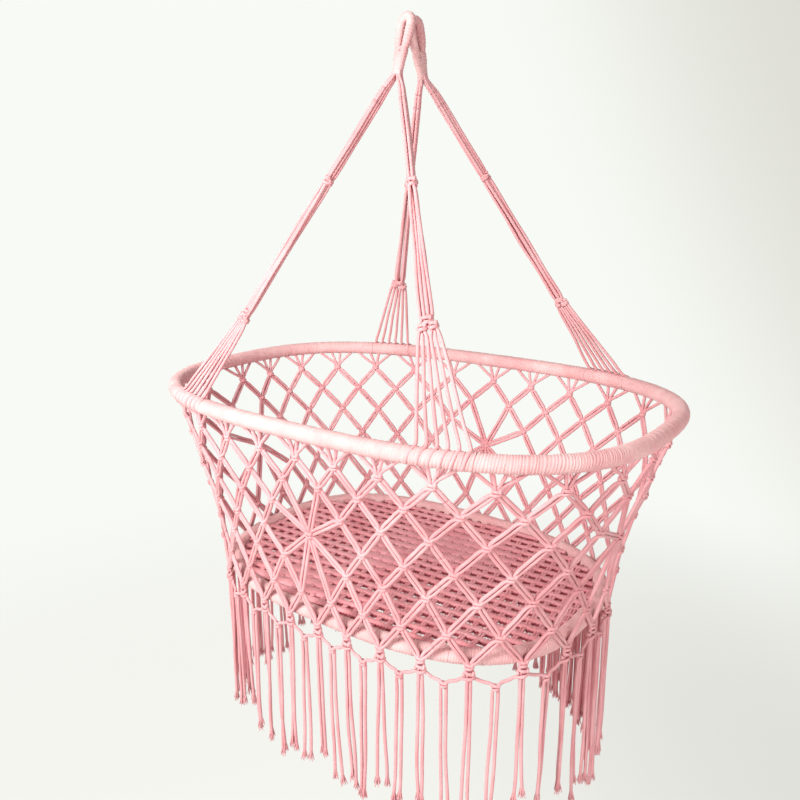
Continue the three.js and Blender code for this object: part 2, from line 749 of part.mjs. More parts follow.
bundles.forEach((bundle, b) => {
  const neck = necks[bundle.side];
  const hoopPoint = topHoop.place(bundle.middle);
  const exit = neck.foot.clone().add(new THREE.Vector3(bundle.x * exitHalfSpacing, 0, 0));
  const down = hoopPoint.clone().sub(exit).normalize();
  const reach = hoopPoint.distanceTo(exit);
  const lateral = topHoop.along(bundle.middle);
  lateral.addScaledVector(down, -lateral.dot(down)).normalize();
  const frame = { down, lateral, depth: lateral.clone().cross(down).negate() };
  const at = (distance) => exit.clone().addScaledVector(down, distance);

  const mouth = exit.clone().addScaledVector(neck.axis, -seatGap);
  const mouthSide = new THREE.Vector3(1, 0, 0);
  const mouthDepth = neck.axis.clone().negate().cross(mouthSide);
  const flexHalf = (upperCount * ropePitch) / 2;
  const mouthHalf = exitHalfSpacing - seatGap;
  const turnedSide = lateral.clone().multiplyScalar(Math.sign(lateral.x));
  const turnedDepth = down.clone().cross(turnedSide);
  addPiece(`rope_top_${bundle.name}`, loftRings([
    ovalRing(mouth, mouthSide, mouthDepth, mouthHalf, mouthHalf, ropeSides),
    ovalRing(at(flexLength / 3), turnedSide, turnedDepth, mouthHalf, upperDepth / 2, ropeSides),
    ovalRing(at(flexLength), turnedSide, turnedDepth, flexHalf, upperDepth / 2, ropeSides),
  ]), palePinkCord);

  const midKnot = reach * midKnotShares[b];
  const lowKnot = reach * lowKnotShares[b];
  addPiece(`upper_ropes_${bundle.name}`, ropeBand(frame, {
    top: at(flexLength + seatGap),
    foot: at(midKnot - midKnotHalf.length - seatGap),
    count: upperCount,
    topPitch: ropePitch,
    footPitch: ropePitch,
    width: ropeDiameter,
    depth: upperDepth,
    joinedBelow: true,
  }), palePinkCord);
  addPiece(`mid_knot_${bundle.name}`, ropeKnot(at(midKnot), frame, midKnotHalf), palePinkCord);
  addPiece(`lower_ropes_${bundle.name}`, ropeBand(frame, {
    top: at(midKnot + midKnotHalf.length + seatGap),
    foot: at(lowKnot - lowKnotHalf.length - seatGap),
    count: lowerCount,
    topPitch: ropePitch,
    footPitch: ropePitch,
    width: ropeDiameter,
    depth: lowerDepth,
    joinedBelow: true,
  }), palePinkCord);
  addPiece(`low_knot_${bundle.name}`, ropeKnot(at(lowKnot), frame, lowKnotHalf), palePinkCord);
  const fanTop = at(lowKnot + lowKnotHalf.length + seatGap);
  const fanPitch = (fanArc - 2 * ropeDiameter) / (ropeCount - 1);
  // Each rope of the fan ends square on its own turns round the hoop.
  const hitchSeat = (i) => {
    const along = i - (ropeCount - 1) / 2;
    const share = bundle.middle + (along * fanPitch) / topHoop.length;
    const hoopSpot = onFacet(topHoop, topShares, share);
    const start = fanTop.clone()
      .addScaledVector(lateral, along * ropePitch)
      .addScaledVector(down, ropeDiameter / 2);
    const way = hoopSpot.clone().sub(start).normalize();
    const slant = Math.abs(way.dot(topHoop.along(share)));
    const backOff = (hitchRadius + seatGap + (ropeDiameter / 2) * slant) / Math.sqrt(1 - slant ** 2);
    const seat = hoopSpot.addScaledVector(way, -backOff);
    const normal = frame.depth.clone().addScaledVector(way, -frame.depth.dot(way)).normalize();
    return [seat, normal];
  };
  addPiece(`rope_fan_${bundle.name}`, ropeBand(frame, {
    top: fanTop,
    foot: hoopPoint,
    count: ropeCount,
    topPitch: ropePitch,
    footPitch: fanPitch,
    width: ropeDiameter,
    depth: ropeDiameter,
    seats: hitchSeat,
  }), palePinkCord);
});

export default cradle;
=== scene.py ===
"""The looks of a hanging baby cradle, knotted from pink cotton cord on two wound hoops.

Every cord is a tube along its own route, so knots, windings and fringe are real shapes.
Sizes are in metres in the properties and in millimetres in the routes.
"""

import math
from collections import namedtuple
from functools import partial

import bpy
import numpy as np
from bpy.props import FloatProperty, FloatVectorProperty, IntProperty, PointerProperty
from mathutils import Matrix


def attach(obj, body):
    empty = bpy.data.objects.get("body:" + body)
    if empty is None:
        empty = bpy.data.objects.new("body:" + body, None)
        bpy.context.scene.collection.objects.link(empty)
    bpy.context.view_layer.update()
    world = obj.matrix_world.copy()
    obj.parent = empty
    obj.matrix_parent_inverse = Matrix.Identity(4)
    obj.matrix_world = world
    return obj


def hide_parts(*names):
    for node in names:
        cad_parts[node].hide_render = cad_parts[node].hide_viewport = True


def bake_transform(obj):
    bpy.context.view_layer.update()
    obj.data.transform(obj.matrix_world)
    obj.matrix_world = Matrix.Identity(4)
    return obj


bl_info = {
    "name": "Knotted Hanging Cradle",
    "version": (1, 0, 0),
    "blender": (4, 5, 0),
    "location": "3D View > Sidebar > Cradle",
    "description": "Makes the cords, hoops, knots and fringe of a hanging baby cradle",
    "category": "Add Mesh",
}

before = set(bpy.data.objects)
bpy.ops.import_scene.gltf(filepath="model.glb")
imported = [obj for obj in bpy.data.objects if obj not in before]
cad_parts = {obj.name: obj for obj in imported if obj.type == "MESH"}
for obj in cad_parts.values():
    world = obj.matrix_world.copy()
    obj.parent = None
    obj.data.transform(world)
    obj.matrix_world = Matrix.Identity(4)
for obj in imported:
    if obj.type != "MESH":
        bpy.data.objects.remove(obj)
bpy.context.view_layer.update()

MM = 0.001
Z = np.array([0.0, 0.0, 1.0])
# Seeds of the random draws, so that every run gives the same cords.
SEEDS = {
    "net": 7, "floor": 31, "top": 101, "bottom": 200, "eye": 300, "neck": 310, "rope": 400,
    "hitch": 500,
}

# A place with its outward, sideways and upward vectors.
Spot = namedtuple("Spot", "place out across up")
# A bundle of ropes: its side of the cradle, the share and end of the hoop it leads to, and the
# shares of its length at which its knots sit.
Bundle = namedtuple("Bundle", "side middle x mid_share low_share")
# The frame of a neck and its eye, in millimetres, with its dent and how far it flares.
Neck = namedtuple("Neck", "foot axis lateral depth reach dent flare")


def linear(hex_colour):
    """An sRGB hex colour as linear red, green and blue."""
    shares = [int(hex_colour[i : i + 2], 16) / 255 for i in (1, 3, 5)]
    return tuple(s / 12.92 if s <= 0.04045 else ((s + 0.055) / 1.055) ** 2.4 for s in shares)


def length(name, default, description):
    """A length in metres for the sidebar."""
    return FloatProperty(
        name=name, description=description, default=default, min=0.0, unit="LENGTH", precision=4
    )


def colour(name, hex_colour, description):
    """A colour for the sidebar, given as sRGB hex."""
    base = linear(hex_colour)
    return FloatVectorProperty(
        name=name, description=description, default=base, subtype="COLOR", min=0.0, max=1.0
    )


class CradleSizes(bpy.types.PropertyGroup):
    """Sizes of the cradle. They repeat those of the CAD source."""

    hang_height: length("Hang Height", 0.595, "Hook point above the middle of the top hoop")
    top_half_length: length("Top Half Length", 0.450, "Top hoop's middle line along X")
    top_half_width: length("Top Half Width", 0.302, "Top hoop's middle line along Y")
    bottom_half_length: length("Bottom Half Length", 0.344, "Bottom hoop's middle line along X")
    bottom_half_width: length("Bottom Half Width", 0.2435, "Bottom hoop's middle line along Y")
    basket_depth: length("Basket Depth", 0.334, "From hoop middle to hoop middle")
    hoop_exponent: FloatProperty(
        name="Hoop Squareness", description="2 is an ellipse", default=2.76, min=2.0, max=6.0
    )
    top_radius: length("Top Hoop Radius", 0.0134, "Wound tube of the top hoop")
    bottom_radius: length("Bottom Hoop Radius", 0.013, "Wound tube of the bottom hoop")
    hitch_radius: length("Hitch Radius", 0.0142, "Rope ends wound on the top hoop")
    cord_radius: length("Cord Radius", 0.00295, "Cords of the side net and fringe")
    knot_cord_radius: length("Knotted Cord Radius", 0.0026, "The same cord squeezed in a knot")
    wound_pitch: length("Winding Pitch", 0.0043, "One turn of the cord wound on a hoop")
    rope_radius: length("Rope Radius", 0.00278, "Suspension ropes")
    tail_length: length("Tail Length", 0.232, "Cut ends of the fringe")
    floor_pitch_x: length("Floor Hole Spacing X", 0.0232, "Holes of the floor along the cradle")
    floor_pitch_y: length("Floor Hole Spacing Y", 0.0238, "Holes of the floor across it")
    tuft_count: IntProperty(
        name="Tuft Strands", description="Strands in each brushed end", default=14, min=3, max=40
    )


class CradleFinish(bpy.types.PropertyGroup):
    """Colours of the cottons and of the studio."""

    net_cotton: colour("Net Cotton", "#E7B2B9", "Braided cotton of the net and fringe")
    rope_cotton: colour("Rope Cotton", "#E7B5BB", "Braided cotton of the suspension ropes")
    wound_cotton: colour("Wound Cotton", "#E9C1C4", "Soft cord wound on hoops and eyes")
    # Deeper than the net's cotton, partly as painted shade for the floor lying in the net's shade.
    floor_cotton: colour("Floor Cotton", "#ECACB5", "Cord of the knotted floor")
    rod_wood: colour("Hoop Rod", "#C9A77A", "Bent rod inside each hoop")
    backdrop_light: colour("Backdrop", "#F8FAF5", "Backdrop on the lit side")
    backdrop_shade: colour("Backdrop Shade", "#DDDDD4", "Backdrop on the far side")


# Routes and tubes


def unit(vector):
    """The vector, or each row of them, at length 1."""
    return vector / np.linalg.norm(vector, axis=-1, keepdims=True)


def run_along(points):
    """How far along its line each point lies."""
    return np.concatenate([[0], np.cumsum(np.linalg.norm(np.diff(points, axis=0), axis=1))])


def round_angles(sides):
    return np.arange(sides) * 2 * np.pi / sides


def spread(side, up, angle):
    """For every row, the vectors of a ring at these angles from side towards up."""
    return np.cos(angle)[:, None] * side[..., None, :] + np.sin(angle)[:, None] * up[..., None, :]


def smooth_route(points, radii, step, most=6):
    """A smooth curve through the points, with the ring index of each given point."""
    points = np.asarray(points, float)
    radii = np.broadcast_to(np.asarray(radii, float), len(points))
    gaps = np.maximum(np.linalg.norm(np.diff(points, axis=0), axis=1), 1e-6)
    knots = np.concatenate([[0], np.cumsum(np.sqrt(gaps))])
    spans = np.diff(knots)
    slopes = np.diff(points, axis=0) / spans[:, None]
    across = (points[2:] - points[:-2]) / (knots[2:] - knots[:-2])[:, None]
    tangents = np.vstack([slopes[:1], slopes[:-1] + slopes[1:] - across, slopes[-1:]])
    route, sizes, marks = [], [], [0]
    for i, gap in enumerate(gaps):
        steps = int(min(most, max(1, math.ceil(gap / step))))
        t = (np.arange(steps) / steps)[:, None]
        route.append(
            (2 * t**3 - 3 * t**2 + 1) * points[i]
            + (t**3 - 2 * t**2 + t) * spans[i] * tangents[i]
            + (3 * t**2 - 2 * t**3) * points[i + 1]
            + (t**3 - t**2) * spans[i] * tangents[i + 1]
        )
        sizes.append(radii[i] + (radii[i + 1] - radii[i]) * t[:, 0])
        marks.append(marks[-1] + steps)
    return np.vstack([*route, points[-1:]]), np.concatenate([*sizes, radii[-1:]]), marks


def carried_frames(points):
    """A side and an up vector at each point of a route, carried along it without twist."""
    ways = np.empty_like(points)
    ways[1:-1] = points[2:] - points[:-2]
    ways[0], ways[-1] = points[1] - points[0], points[-1] - points[-2]
    ways = unit(ways)
    side = np.cross(Z, ways[0]) if abs(ways[0][2]) < 0.95 else np.cross(ways[0], [0.0, 1.0, 0.0])
    sides = np.empty_like(points)
    for i, way in enumerate(ways):
        side = side - way * side.dot(way)
        side = side / math.sqrt(side.dot(side))
        sides[i] = side
    return sides, np.cross(ways, sides)


def put(name, data):
    """A new object with this data, in the scene."""
    obj = bpy.data.objects.new(name, data)
    bpy.context.scene.collection.objects.link(obj)
    return obj


# How far a rounded end stands out and how far it narrows, in shares of the cord's radius.
END_REACH, END_NARROW = 0.45, 0.55


class CordMesh:
    """Gathers tubes in one mesh. Its UV map is the run along each cord and the turn round it."""

    def __init__(self):
        self.places, self.faces, self.maps = [], [], []
        self.count = 0

    def rings(self, rings, runs, closed=False):
        """Joins rows of rings by quads. They turn anticlockwise seen from ahead of the row."""
        rows, sides = rings.shape[:2]
        first = self.count + np.arange(sides)
        row = np.arange(rows if closed else rows - 1)[:, None]
        side = np.arange(sides)[None, :]
        ahead, beside = (row + 1) % rows, (side + 1) % sides
        here, there = self.count + row * sides, self.count + ahead * sides
        quads = np.stack([here + side, here + beside, there + beside, there + side], -1)
        self.faces.extend(quads.reshape(-1, 4).tolist())
        near, past = side / sides, (side + 1) / sides
        corners = [(runs[row], near), (runs[row], past), (runs[ahead], past), (runs[ahead], near)]
        uv = np.stack([np.stack(np.broadcast_arrays(u, v), -1) for u, v in corners], 2)
        self.maps.append(uv.reshape(-1, 2))
        if not closed:
            self.faces.extend([first[::-1].tolist(), (first + (rows - 1) * sides).tolist()])
            self.maps.extend([np.zeros((sides, 2)) + [runs[end], 0] for end in (0, -1)])
        self.places.append(rings.reshape(-1, 3))
        self.count += rows * sides

    def tube(self, points, radii, sides=7, run_start=0.0, end_round=True):
        """A cord along points, in millimetres, with a radius at each point."""
        runs = run_start + run_along(points)
        turn = spread(*carried_frames(points), round_angles(sides))
        rings = points[:, None, :] + radii[:, None, None] * turn
        if end_round:
            way_in, way_out = unit(points[0] - points[1]), unit(points[-1] - points[-2])
            head = points[0] + radii[0] * (way_in * END_REACH + END_NARROW * turn[0])
            foot = points[-1] + radii[-1] * (way_out * END_REACH + END_NARROW * turn[-1])
            rings = np.concatenate([head[None], rings, foot[None]])
            runs = np.concatenate([runs[:1], runs, runs[-1:]])
        self.rings(rings, runs * MM)

    def cord(self, points, radii, step, sides=7, most=6, end_round=True):
        """A smooth cord through the points."""
        line, sizes, _ = smooth_route(points, radii, step, most)
        self.tube(line, sizes, sides, end_round=end_round)

    def build(self, name, kind, slot):
        """The mesh as an object in the row frame, smooth, in the cotton of its kind."""
        mesh = bpy.data.meshes.new(name)
        mesh.from_pydata((np.vstack(self.places) * MM).tolist(), [], self.faces)
        layer = mesh.uv_layers.new(name="cord_run")
        layer.data.foreach_set("uv", np.vstack(self.maps).astype(np.float32).ravel())
        mesh.shade_smooth()
        mesh.materials.append(finish_for(kind))
        obj = put(name, mesh)
        return obj


# Hoops and net


class Hoop:
    """Places on an oval hoop by their share of its length, anticlockwise from the +X end."""

    def __init__(self, half_length, half_width, height, exponent):
        self.half = np.array([half_length, half_width])
        self.height = height
        self.bend = 2 / exponent
        self.turns = np.linspace(0, 2 * np.pi, 2881)
        self.runs = run_along(self.on_curve(self.turns))
        self.length = self.runs[-1]

    def on_curve(self, turns):
        c, s = np.cos(turns), np.sin(turns)
        x = self.half[0] * np.sign(c) * np.abs(c) ** self.bend
        y = self.half[1] * np.sign(s) * np.abs(s) ** self.bend
        return np.stack([x, y, np.full_like(x, self.height)], -1)

    def place(self, share):
        run = np.mod(share, 1.0) * self.length
        return self.on_curve(np.interp(run, self.runs, self.turns))

    def outward(self, share, step=0.002):
        way = self.place(share + step) - self.place(share - step)
        return unit(np.stack([way[..., 1], -way[..., 0], np.zeros_like(way[..., 0])], -1))

    def along(self, share):
        out = self.outward(share)
        return np.stack([-out[..., 1], out[..., 0], np.zeros_like(out[..., 0])], -1)


PANELS = ("right", "far", "left", "near")
KNOTS_PER_PANEL = 7
KNOT_COUNT = KNOTS_PER_PANEL * len(PANELS)
# Heights of the net's rows, in shares of its depth, and of the stars and the rows they draw in.
ROW_SHARES = (0.13, 0.26, 0.40, 0.555, 0.70, 0.87, 1.0)
STAR_SHARE = 0.53
STAR_ROWS = {"high": 2, "middle": 3, "low": 4}
# How far each quarter's middle knots drift, in knots, and where the net leans out to the hoop.
SIDE_DRIFT = (0.0, 0.3, 0.25, -0.33)
LEAN_START = 0.68
# Where a pair's cords leave the top hoop, in knots beside their first knot.
HANGER_SHARES = {"outer": 0.40, "inner": 0.11}
# Heights of the fringe's knots under the bottom hoop's middle, in millimetres.
HOOP_KNOT_DROP, STRAP_DROP, CLUSTER_DROP, VALLEY_DROP = 6.0, 13.5, 22.0, 41.0
# How much longer the far fringe hangs.
FAR_EXTRA = 38.0
# Ends of the floor's cords at two corners: first and last knot, number of ends, and how much
# longer than the fringe they hang.
SPARE_ENDS = ((1.3, 4.6, 36, 28.0), (14.6, 17.4, 18, 0.0))
# Width of a fan of ropes on the top hoop, and its middle's share beside that of its side.
FAN_ARC = 88.0
FAN_OFFSET = 0.1004
SIDE_MIDDLES = {"far": 0.25, "near": 0.75}
# Each bundle's side, turn from it, end of the cradle, and its knots' shares of its length.
BUNDLES = (
    ("far_right", "far", -1, 1, 0.295, 0.715),
    ("far_left", "far", 1, -1, 0.32, 0.695),
    ("near_left", "near", -1, -1, 0.31, 0.725),
    ("near_right", "near", 1, 1, 0.32, 0.69),
)


class Cradle:
    """The cradle's places, worked out in millimetres from its sizes."""

    def __init__(self, sizes):
        mm = 1 / MM
        self.hang = sizes.hang_height * mm
        self.depth = sizes.basket_depth * mm
        self.top_radius = sizes.top_radius * mm
        self.bottom_radius = sizes.bottom_radius * mm
        self.hitch_radius = sizes.hitch_radius * mm
        self.cord = sizes.cord_radius * mm
        self.knot_cord = sizes.knot_cord_radius * mm
        self.pitch = sizes.wound_pitch * mm
        self.rope = sizes.rope_radius * mm
        self.tail = sizes.tail_length * mm
        self.floor_pitch = (sizes.floor_pitch_x * mm, sizes.floor_pitch_y * mm)
        self.tuft_count = sizes.tuft_count
        top_half = (sizes.top_half_length * mm, sizes.top_half_width * mm)
        low_half = (sizes.bottom_half_length * mm, sizes.bottom_half_width * mm)
        self.top = Hoop(*top_half, -self.hang, sizes.hoop_exponent)
        self.bottom = Hoop(*low_half, -self.hang - self.depth, sizes.hoop_exponent)
        self.over_hoop = self.bottom_radius + 3.6
        self.bundles = {
            name: Bundle(side, SIDE_MIDDLES[side] + turn * FAN_OFFSET, *rest)
            for name, side, turn, *rest in BUNDLES
        }

    def drifted(self, knot):
        """A knot's share of the hoops, with the drift of hand-tied knots."""
        quarter = int((knot % KNOT_COUNT) // KNOTS_PER_PANEL)
        within = (knot % KNOTS_PER_PANEL) / KNOTS_PER_PANEL
        return (knot + SIDE_DRIFT[quarter] * math.sin(math.pi * within)) / KNOT_COUNT

    def on_net(self, knot, depth):
        share = self.drifted(knot)
        lean = min(1.0, max(0.0, (depth - LEAN_START) / (1 - LEAN_START)))
        top, bottom = self.top.place(share), self.bottom.place(share)
        return top + (bottom - top) * depth + self.bottom.outward(share) * self.over_hoop * lean

    def knot_frame(self, knot, depth, step=0.01):
        """The net's place at a knot, with its outward, sideways and upward vectors."""
        across = unit(self.on_net(knot + step, depth) - self.on_net(knot - step, depth))
        down = self.on_net(knot, min(depth + step, 1.0)) - self.on_net(knot, depth - step)
        out = unit(np.cross(down, across))
        if depth == 1.0:
            out = self.bottom.outward(self.drifted(knot))
        place = self.on_net(knot, depth)
        return Spot(place, out, across, np.cross(out, across))

    def knot_at(self, row, knot):
        """A knot of the net. Four knots in the middle of each panel are drawn into one star."""
        nearest = round(knot / KNOTS_PER_PANEL) * KNOTS_PER_PANEL
        middle = row == STAR_ROWS["middle"] and abs(knot - nearest) == 0.5
        ends = row in (STAR_ROWS["high"], STAR_ROWS["low"]) and knot == nearest
        if middle or ends:
            return ("star", nearest, STAR_SHARE)
        return (row, knot, ROW_SHARES[row])

    def below_hoop(self, knot, drop):
        return self.on_net(knot, 1.0) - Z * drop


def panel_of(knot):
    """The panel that owns a knot. Panels meet between knots 3 and 3.5 from each middle."""
    return PANELS[int((knot + KNOTS_PER_PANEL / 2) // KNOTS_PER_PANEL) % len(PANELS)]


# Routes of the cords of a square knot, in shares of its half width, half height and depth.
FRONT_WORKER = np.array([
    (-0.70, 1.29, 0.43), (-0.25, 1.04, 0.93), (0.25, 0.93, 1.00), (0.77, 0.79, 0.62),
    (1.00, 0.21, 0.05), (1.00, -0.29, 0.00), (0.73, -0.82, 0.57), (0.25, -0.96, 1.00),
    (-0.25, -1.04, 0.93), (-0.70, -1.29, 0.43),
])
BACK_WORKER = np.array([
    (0.93, 1.39, 0.62), (0.80, 0.79, 1.05), (0.62, 0.25, 0.10), (0.20, 0.36, -0.86),
    (-0.33, 0.43, -0.90), (-0.87, 0.36, -0.38), (-1.03, 0.07, 0.29), (-0.87, -0.32, -0.33),
    (-0.33, -0.50, -0.90), (0.20, -0.57, -0.86), (0.73, -0.93, -0.33),
])
FILLER = np.array([(-0.32, 1.25, 0.0), (-0.30, 0.0, 0.0), (-0.32, -1.25, 0.0)])
# Half width, half height and depth of each kind of knot, in millimetres.
KNOT_HALF = np.array([5.5, 2.7, 3.3])
CLUSTER_HALF = np.array([7.4, 4.6, 5.0])
VALLEY_HALF = np.array([4.8, 2.9, 3.4])
STAR_HALF = np.array([7.0, 3.4, 4.4])


def in_knot(here, shares, half):
    """Points of a knot's table, placed at a knot with half width, half height and depth."""
    local = shares * np.asarray(half)
    across, up = local[:, :1] * here.across, local[:, 1:2] * here.up
    return here.place + across + up + local[:, 2:] * here.out


def tie_knot(cords, here, half, radius, step, sides):
    """The two working cords of a square knot."""
    for table in (FRONT_WORKER, BACK_WORKER):
        cords.cord(in_knot(here, table, half), radius, step, sides)


# Finishes


def add_node(tree, kind, inputs=None, **settings):
    """Adds a node with its settings. An input gets a value, a socket or a node's first output."""
    node = tree.nodes.new("ShaderNode" + kind)
    for key, value in settings.items():
        setattr(node, key, value)
    for key, value in (inputs or {}).items():
        if isinstance(value, bpy.types.Node):
            value = value.outputs[0]
        if isinstance(value, bpy.types.NodeSocket):
            tree.links.new(value, node.inputs[key])
        else:
            node.inputs[key].default_value = value
    return node


def start_tree(owner):
    """Clears the nodes of a material or world. What it returns adds new ones."""
    owner.use_nodes = True
    owner.node_tree.nodes.clear()
    return partial(add_node, owner.node_tree)


def changing(node, value, start, end, before, after):
    """One colour up to start and another from end, with a smooth change between.

    A Mix node's colours go into its inputs 6 and 7 and come out of its output 2.
    """
    reach = {"Value": value, "From Min": start, "From Max": end}
    share = node("MapRange", reach, interpolation_type="SMOOTHSTEP")
    return node("Mix", {0: share, 6: before, 7: after}, data_type="RGBA").outputs[2]


def tinted(base, factors):
    return (*[min(1.0, c * f) for c, f in zip(base, factors)], 1.0)


# The dye's paler and deeper patches, then the painted shade in the floor's pits and in the nooks
# between cords, against the base colour.
SHADE_TINT, PALE_TINT = (0.94, 0.80, 0.81), (1.03, 1.10, 1.09)
PIT_SHADE_TINT, NOOK_SHADE_TINT = (0.33, 0.11, 0.14), (0.46, 0.16, 0.20)
# How far from the floor's core the painted pit shade begins and ends, and how closed in a nook
# must be for painted shade.
PIT_SHADE_RANGE, NOOK_SHADE_RANGE = (0.8 * MM, 4.2 * MM), (0.15, 0.70)
# Grain of the cotton's fuzz. Real fibres are too fine to show, so it is drawn coarser.
FUZZ_MM = 2.4
# Real cotton: no gloss to speak of, and a faint bloom of loose fibres at grazing angles.
COTTON_SURFACE = {
    "Roughness": 0.9, "Sheen Weight": 0.25, "Sheen Roughness": 0.45, "Specular IOR Level": 0.25
}


def cotton(name, base, strand_mm, lean, relief_mm, blotch_mm, depth, nook_shade_mm, core_height):
    """Soft cotton cord. Its strands lean along the cord by the UV map, and its dye varies.

    A close net gets painted shade in its pits, near the height of its core, where light hardly
    reaches.
    """
    material = bpy.data.materials.new(name)
    node = start_tree(material)
    run = node("SeparateXYZ", {0: node("UVMap", uv_map="cord_run")})
    rate = 2 * math.pi / (strand_mm * MM)
    along = node("Math", {0: run.outputs["X"], 1: rate}, operation="MULTIPLY")
    ribs = []
    for sign in (1, -1) if lean else (1,):
        rate = sign * 2 * math.pi * max(lean, 1)
        across = node("Math", {0: run.outputs["Y"], 1: rate}, operation="MULTIPLY")
        phase = node("Math", {0: along, 1: across}, operation="ADD")
        ribs.append(node("Math", {0: phase}, operation="SINE"))
    braid = node("Math", {0: ribs[0], 1: ribs[-1]}, operation="MAXIMUM")
    place = node("TexCoord").outputs["Object"]
    grain = {"Vector": place, "Scale": 1 / (FUZZ_MM * MM), "Detail": 2.0, "Roughness": 0.5}
    fuzz = node("TexNoise", grain)
    bump = node("Bump", {"Height": fuzz, "Strength": 0.35, "Distance": relief_mm * MM})
    blotch = node("TexNoise", {"Vector": place, "Scale": 1 / (blotch_mm * MM), "Detail": 2.0})
    ramp = node("ValToRGB", {0: blotch})
    stops = zip(ramp.color_ramp.elements, (0.30, 0.72), (SHADE_TINT, PALE_TINT))
    for stop, position, tint in stops:
        stop.position, stop.color = position, tinted(base, tint)
    # Painted shade: the colour is darkened in the grooves between the braid's strands.
    valley = {"Value": braid, "From Min": -1.0, "From Max": 0.6, "To Min": 1.0 - depth}
    valley = node("MapRange", valley)
    dyed_and_shaded = node("VectorMath", {0: ramp, "Scale": valley}, operation="SCALE").outputs[0]
    # Painted shade: near the height of the floor's core, down in its pits, the colour is darkened.
    if core_height is not None:
        height = node("SeparateXYZ", {0: place}).outputs["Z"]
        off = node("Math", {0: height, 1: core_height}, operation="SUBTRACT")
        away = node("Math", {0: off}, operation="ABSOLUTE").outputs[0]
        dyed_and_shaded = changing(node, away, *PIT_SHADE_RANGE, tinted(base, PIT_SHADE_TINT), dyed_and_shaded)
    # Painted shade: between cords that touch, an ambient-occlusion node darkens the colour, for
    # the shade there and the light passed from cord to cord.
    open_sky = node("AmbientOcclusion", {"Distance": nook_shade_mm * MM}, samples=8).outputs["AO"]
    dyed_and_shaded = changing(node, open_sky, *NOOK_SHADE_RANGE, tinted(base, NOOK_SHADE_TINT), dyed_and_shaded)
    shader = node("BsdfPrincipled", {"Base Color": dyed_and_shaded, "Normal": bump, **COTTON_SURFACE})
    node("OutputMaterial", {"Surface": shader})
    return material


# Name, strand in mm, lean, relief in mm, patch in mm, depth of the painted shade between strands,
# reach of the painted shade in nooks in mm.
COTTONS = {
    # Braided cotton cord: a close round braid that shows as small leaning strands.
    "net": ("braided_cotton_cord", 6.0, 2, 0.4, 60, 0.06, 5.0),
    # Braided cotton rope, the same make a little tighter.
    "rope": ("braided_cotton_rope", 6.0, 2, 0.2, 60, 0.05, 6.0),
    # Soft twisted cotton cord, laid turn by turn. Its fibres run round the hoop.
    "wound": ("wound_cotton_cord", 1.4, 0, 0.3, 45, 0.03, 10.0),
    # The floor's cord. Its colour is deeper than the net's, partly as painted shade, for it lies
    # in the shade of the net.
    "floor": ("hitched_cotton_cord", 6.0, 2, 0.5, 50, 0.08, 5.0),
}


def finish_for(kind):
    """The cotton of one kind of cord, made once."""
    name, *make = COTTONS[kind]
    scene = bpy.context.scene
    sizes = scene.cradle_sizes
    base = tuple(getattr(scene.cradle_finish, f"{kind}_cotton"))
    core = -sizes.hang_height - sizes.basket_depth if kind == "floor" else None
    return bpy.data.materials.get(name) or cotton(name, base, *make, core)


def bent_rod(context):
    """Peeled rattan, bent round and left bare: a dull straw colour with long grain."""
    material = bpy.data.materials.new("peeled_rattan")
    node = start_tree(material)
    base = tuple(context.scene.cradle_finish.rod_wood)
    place = node("TexCoord").outputs["Object"]
    grain = node("TexNoise", {"Vector": place, "Scale": 1 / (3 * MM), "Detail": 4.0})
    ramp = node("ValToRGB", {0: grain})
    for stop, factor in zip(ramp.color_ramp.elements, (0.72, 1.0)):
        stop.color = tinted(base, (factor,) * 3)
    shader = node("BsdfPrincipled", {"Base Color": ramp, "Roughness": 0.6})
    node("OutputMaterial", {"Surface": shader})
    return material


class CRADLE_OT_hoop_rods(bpy.types.Operator):
    """Give the rods inside the hoops their wood"""

    bl_idname = "cradle.hoop_rods"
    bl_label = "Hoop Rods"

    def execute(self, context):
        material = bent_rod(context)
        for name in ("top_hoop_rod", "bottom_hoop_rod"):
            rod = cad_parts[name]
            rod.data.materials.clear()
            rod.data.materials.append(material)
        return {"FINISHED"}


# Windings on the hoops

# How high a wound cord stands across one turn, in shares of its ridge.
TURN_RISE = np.array([0.0, 0.78, 1.0, 0.78])
TURN_RINGS = len(TURN_RISE)
# Thickness of the cord on a rod, spacing of the rings inside it, and height of the ridges.
WALL = 4.0
BORE_STEP = 12
TOP_RIDGE, BOTTOM_RIDGE, HITCH_RIDGE = 1.05, 1.15, 1.3
TOP_SIDES, BOTTOM_SIDES = 22, 20
# How much the turns differ: in width, in how far they stand out, and in their slant.
TURN_WIDTHS, TURN_PROUD, TURN_SLANTS = 0.24, (-0.38, 0.16), (0.15, 0.95)


def per_turn(values, rings, last):
    """One value for every turn of cord, repeated on its rings."""
    return np.append(np.repeat(values, rings), last)


